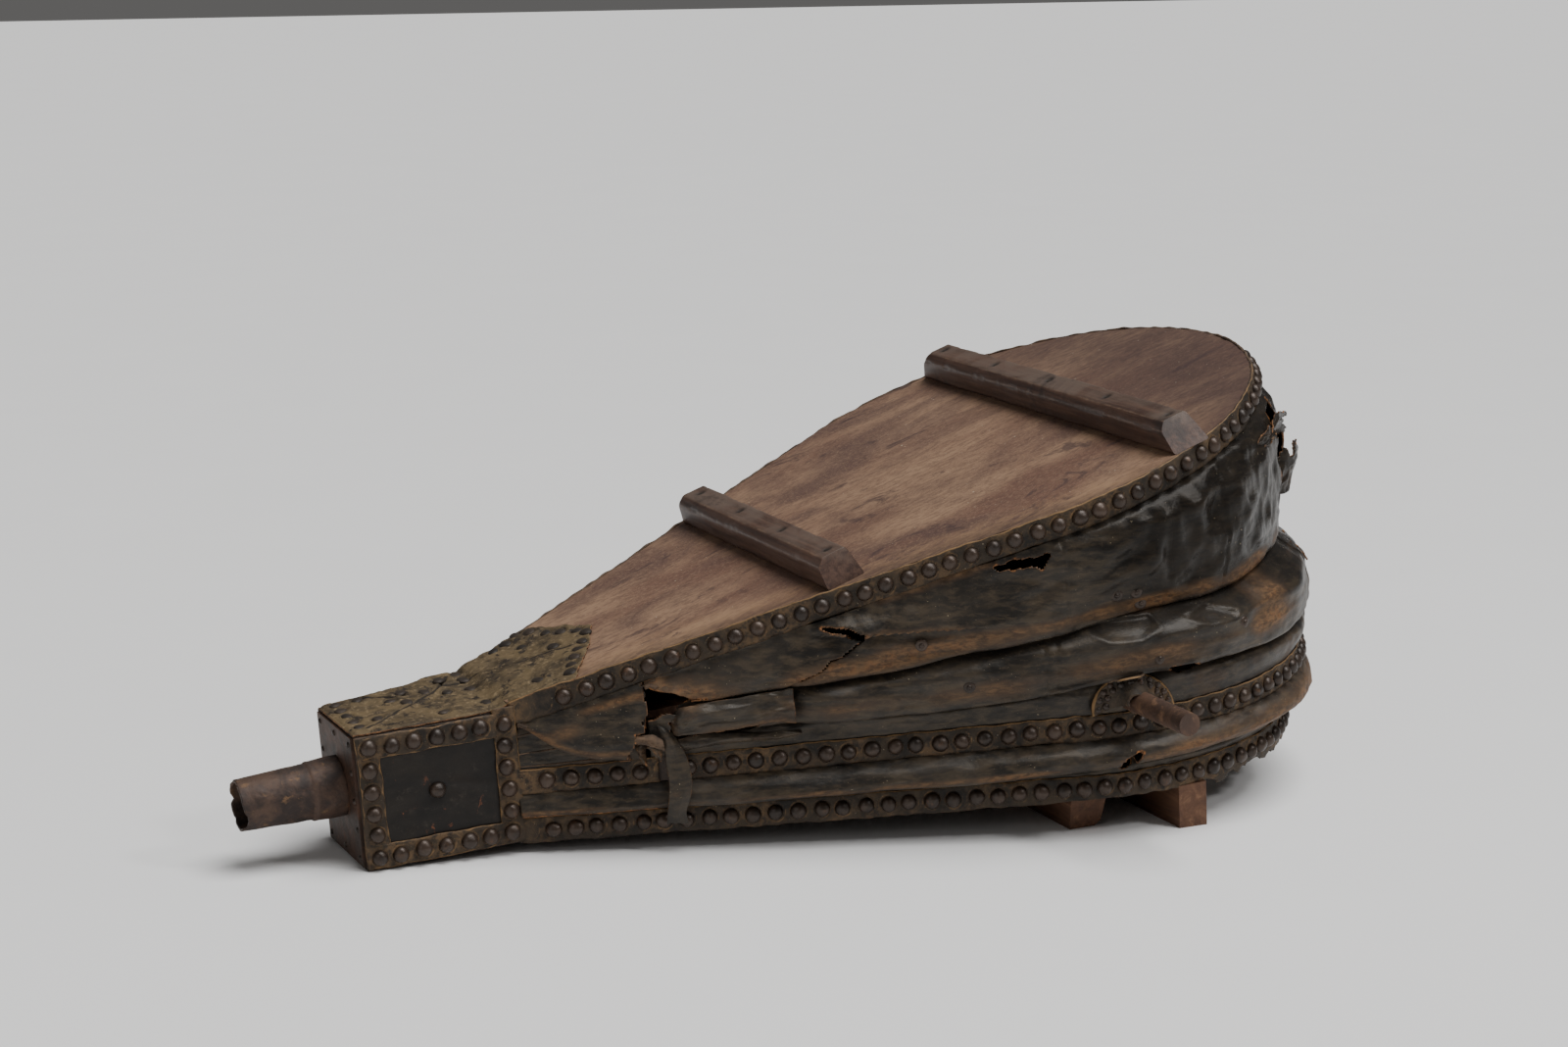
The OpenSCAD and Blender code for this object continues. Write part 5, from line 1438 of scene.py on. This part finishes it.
def gusset(label, far_side, seed):
    """An arched patch round the trunnion bar, drawn out along it; returns its tacks."""
    a = np.linspace(0, math.pi, 90)[:, None]
    u = np.linspace(0, 1, 26)[None, :]
    du = (17 + (GUSSET_HALF - 17) * u) * np.cos(a)
    dz = BAR_LIFT * (1 - u) + (17 + (GUSSET_HEIGHT - 17) * u) * np.sin(a)
    far = np.hypot(du, dz - BAR_LIFT)
    k = TRUNNION_K + du / EDGE_STEP
    k = EDGE_N - k if far_side else k
    share = np.clip(dz + 1, 0, None) / chamber_height(k)
    under = leather_off(k, np.maximum(share, 0.02))
    collar = 30 * np.exp(-(far - 17) / 12)
    off = np.maximum(under + 3.4, 12 + 0 * u) * (1 - np.exp(-(far - 17) / 9)) + collar + 8 * np.exp(-(far - 17) / 9)
    off = off + 0.8 * noise(du / 20, dz / 14, seed)
    off = off + 1.2 + 2.4 * bell(u - 0.87, 0.05) - 2.4 * smooth((u - 0.93) * 14)
    points = chamber_point(k, share, off)
    rim = bell(u - 0.95, 0.05) + 0 * du
    if not far_side:
        points, rim = points[::-1], rim[::-1]
    attach(flat_sheet(f"{label}_gusset", points, 3.0, BANDED, ridge=1.2 * rim),
           "frame", "strap_leather", "trunnion_gussets")
    rng = np.random.RandomState(seed)
    tacks = []
    for ring, count in ((0.8, 11), (0.56, 9)):
        for i in range(count):
            b = math.pi * (i + 0.5) / count
            q = [17 + (size - 17) * ring for size in (GUSSET_HALF, GUSSET_HEIGHT)]
            tu, tz = q[0] * math.cos(b), BAR_LIFT * (1 - ring) + q[1] * math.sin(b)
            kk = TRUNNION_K + tu / EDGE_STEP
            kk = np.array(EDGE_N - kk if far_side else kk)
            base = off.flat[np.argmin(np.hypot(du - tu, dz - tz))]
            high = np.array(tz / float(chamber_height(kk)))
            seat, out = (chamber_point(kk, high, base + d) for d in (-0.5, 9))
            tacks.append(nail_head(rng, 5.6, 4.2, 1.1, seat, out))
    return tacks


tacks = gusset("near", False, 900) + gusset("far", True, 910)
nail_piece("gusset_tacks", tacks, "stud", ["trunnion_gusset_tacks"], "frame")


# ------------------------------------------------------------------ camera, light and floor
LIGHT_AIM = (0.0, 0.0, 0.25)


def add_area(name, at, size, power):
    light = bpy.data.lights.new(name, "AREA")
    light.shape = "RECTANGLE"
    light.size, light.size_y = size
    light.energy = power
    lamp = bpy.data.objects.new(name, light)
    lamp.location = at
    lamp.rotation_euler = (Vector(LIGHT_AIM) - Vector(at)).to_track_quat("-Z", "Y").to_euler()
    bpy.context.scene.collection.objects.link(lamp)


def studio():
    add_area("key", (2.6, -3.4, 3.6), (0.8, 0.7), 62)
    add_area("fill", (-3.6, -2.4, 1.9), (1.4, 1.4), 16)
    sky = bpy.data.lights.new("soft", "SUN")
    sky.energy, sky.angle = 3.3, math.radians(40)
    lamp = bpy.data.objects.new("soft", sky)
    lamp.rotation_euler = (math.radians(10), math.radians(14), 0)
    bpy.context.scene.collection.objects.link(lamp)
    world = bpy.data.worlds.new("studio")
    world.use_nodes = True
    world.node_tree.nodes["Background"].inputs["Color"].default_value = (0.9, 0.88, 0.86, 1)
    world.node_tree.nodes["Background"].inputs["Strength"].default_value = 0.13
    bpy.context.scene.world = world


def floor():
    mesh = bpy.data.meshes.new("floor")
    r = 30.0
    mesh.from_pydata([(-r, -r, 0), (r, -r, 0), (r, r, 0), (-r, r, 0)], [], [(0, 1, 2, 3)])
    s = Shade("floor_paint")
    color = s.mix(s.noise(3), (0.84, 0.836, 0.83), (0.87, 0.866, 0.86))
    mesh.materials.append(s.done(color, 0.8))
    ground = bpy.data.objects.new("floor", mesh)
    bpy.context.scene.collection.objects.link(ground)


def camera():
    view = bpy.data.cameras.new("camera")
    view.lens, view.sensor_width = 70.0, 36.0
    eye = bpy.data.objects.new("camera", view)
    heading, pitch = Vector((0.42268, 0.90628, 0)), math.radians(11.78)
    look = heading.normalized() * math.cos(pitch) - Vector((0, 0, math.sin(pitch)))
    eye.location = (-2.0101, -4.3005, 1.440)
    eye.rotation_euler = look.to_track_quat("-Z", "Y").to_euler()
    bpy.context.scene.collection.objects.link(eye)
    bpy.context.scene.camera = eye


studio()
floor()
camera()
bpy.context.view_layer.update()
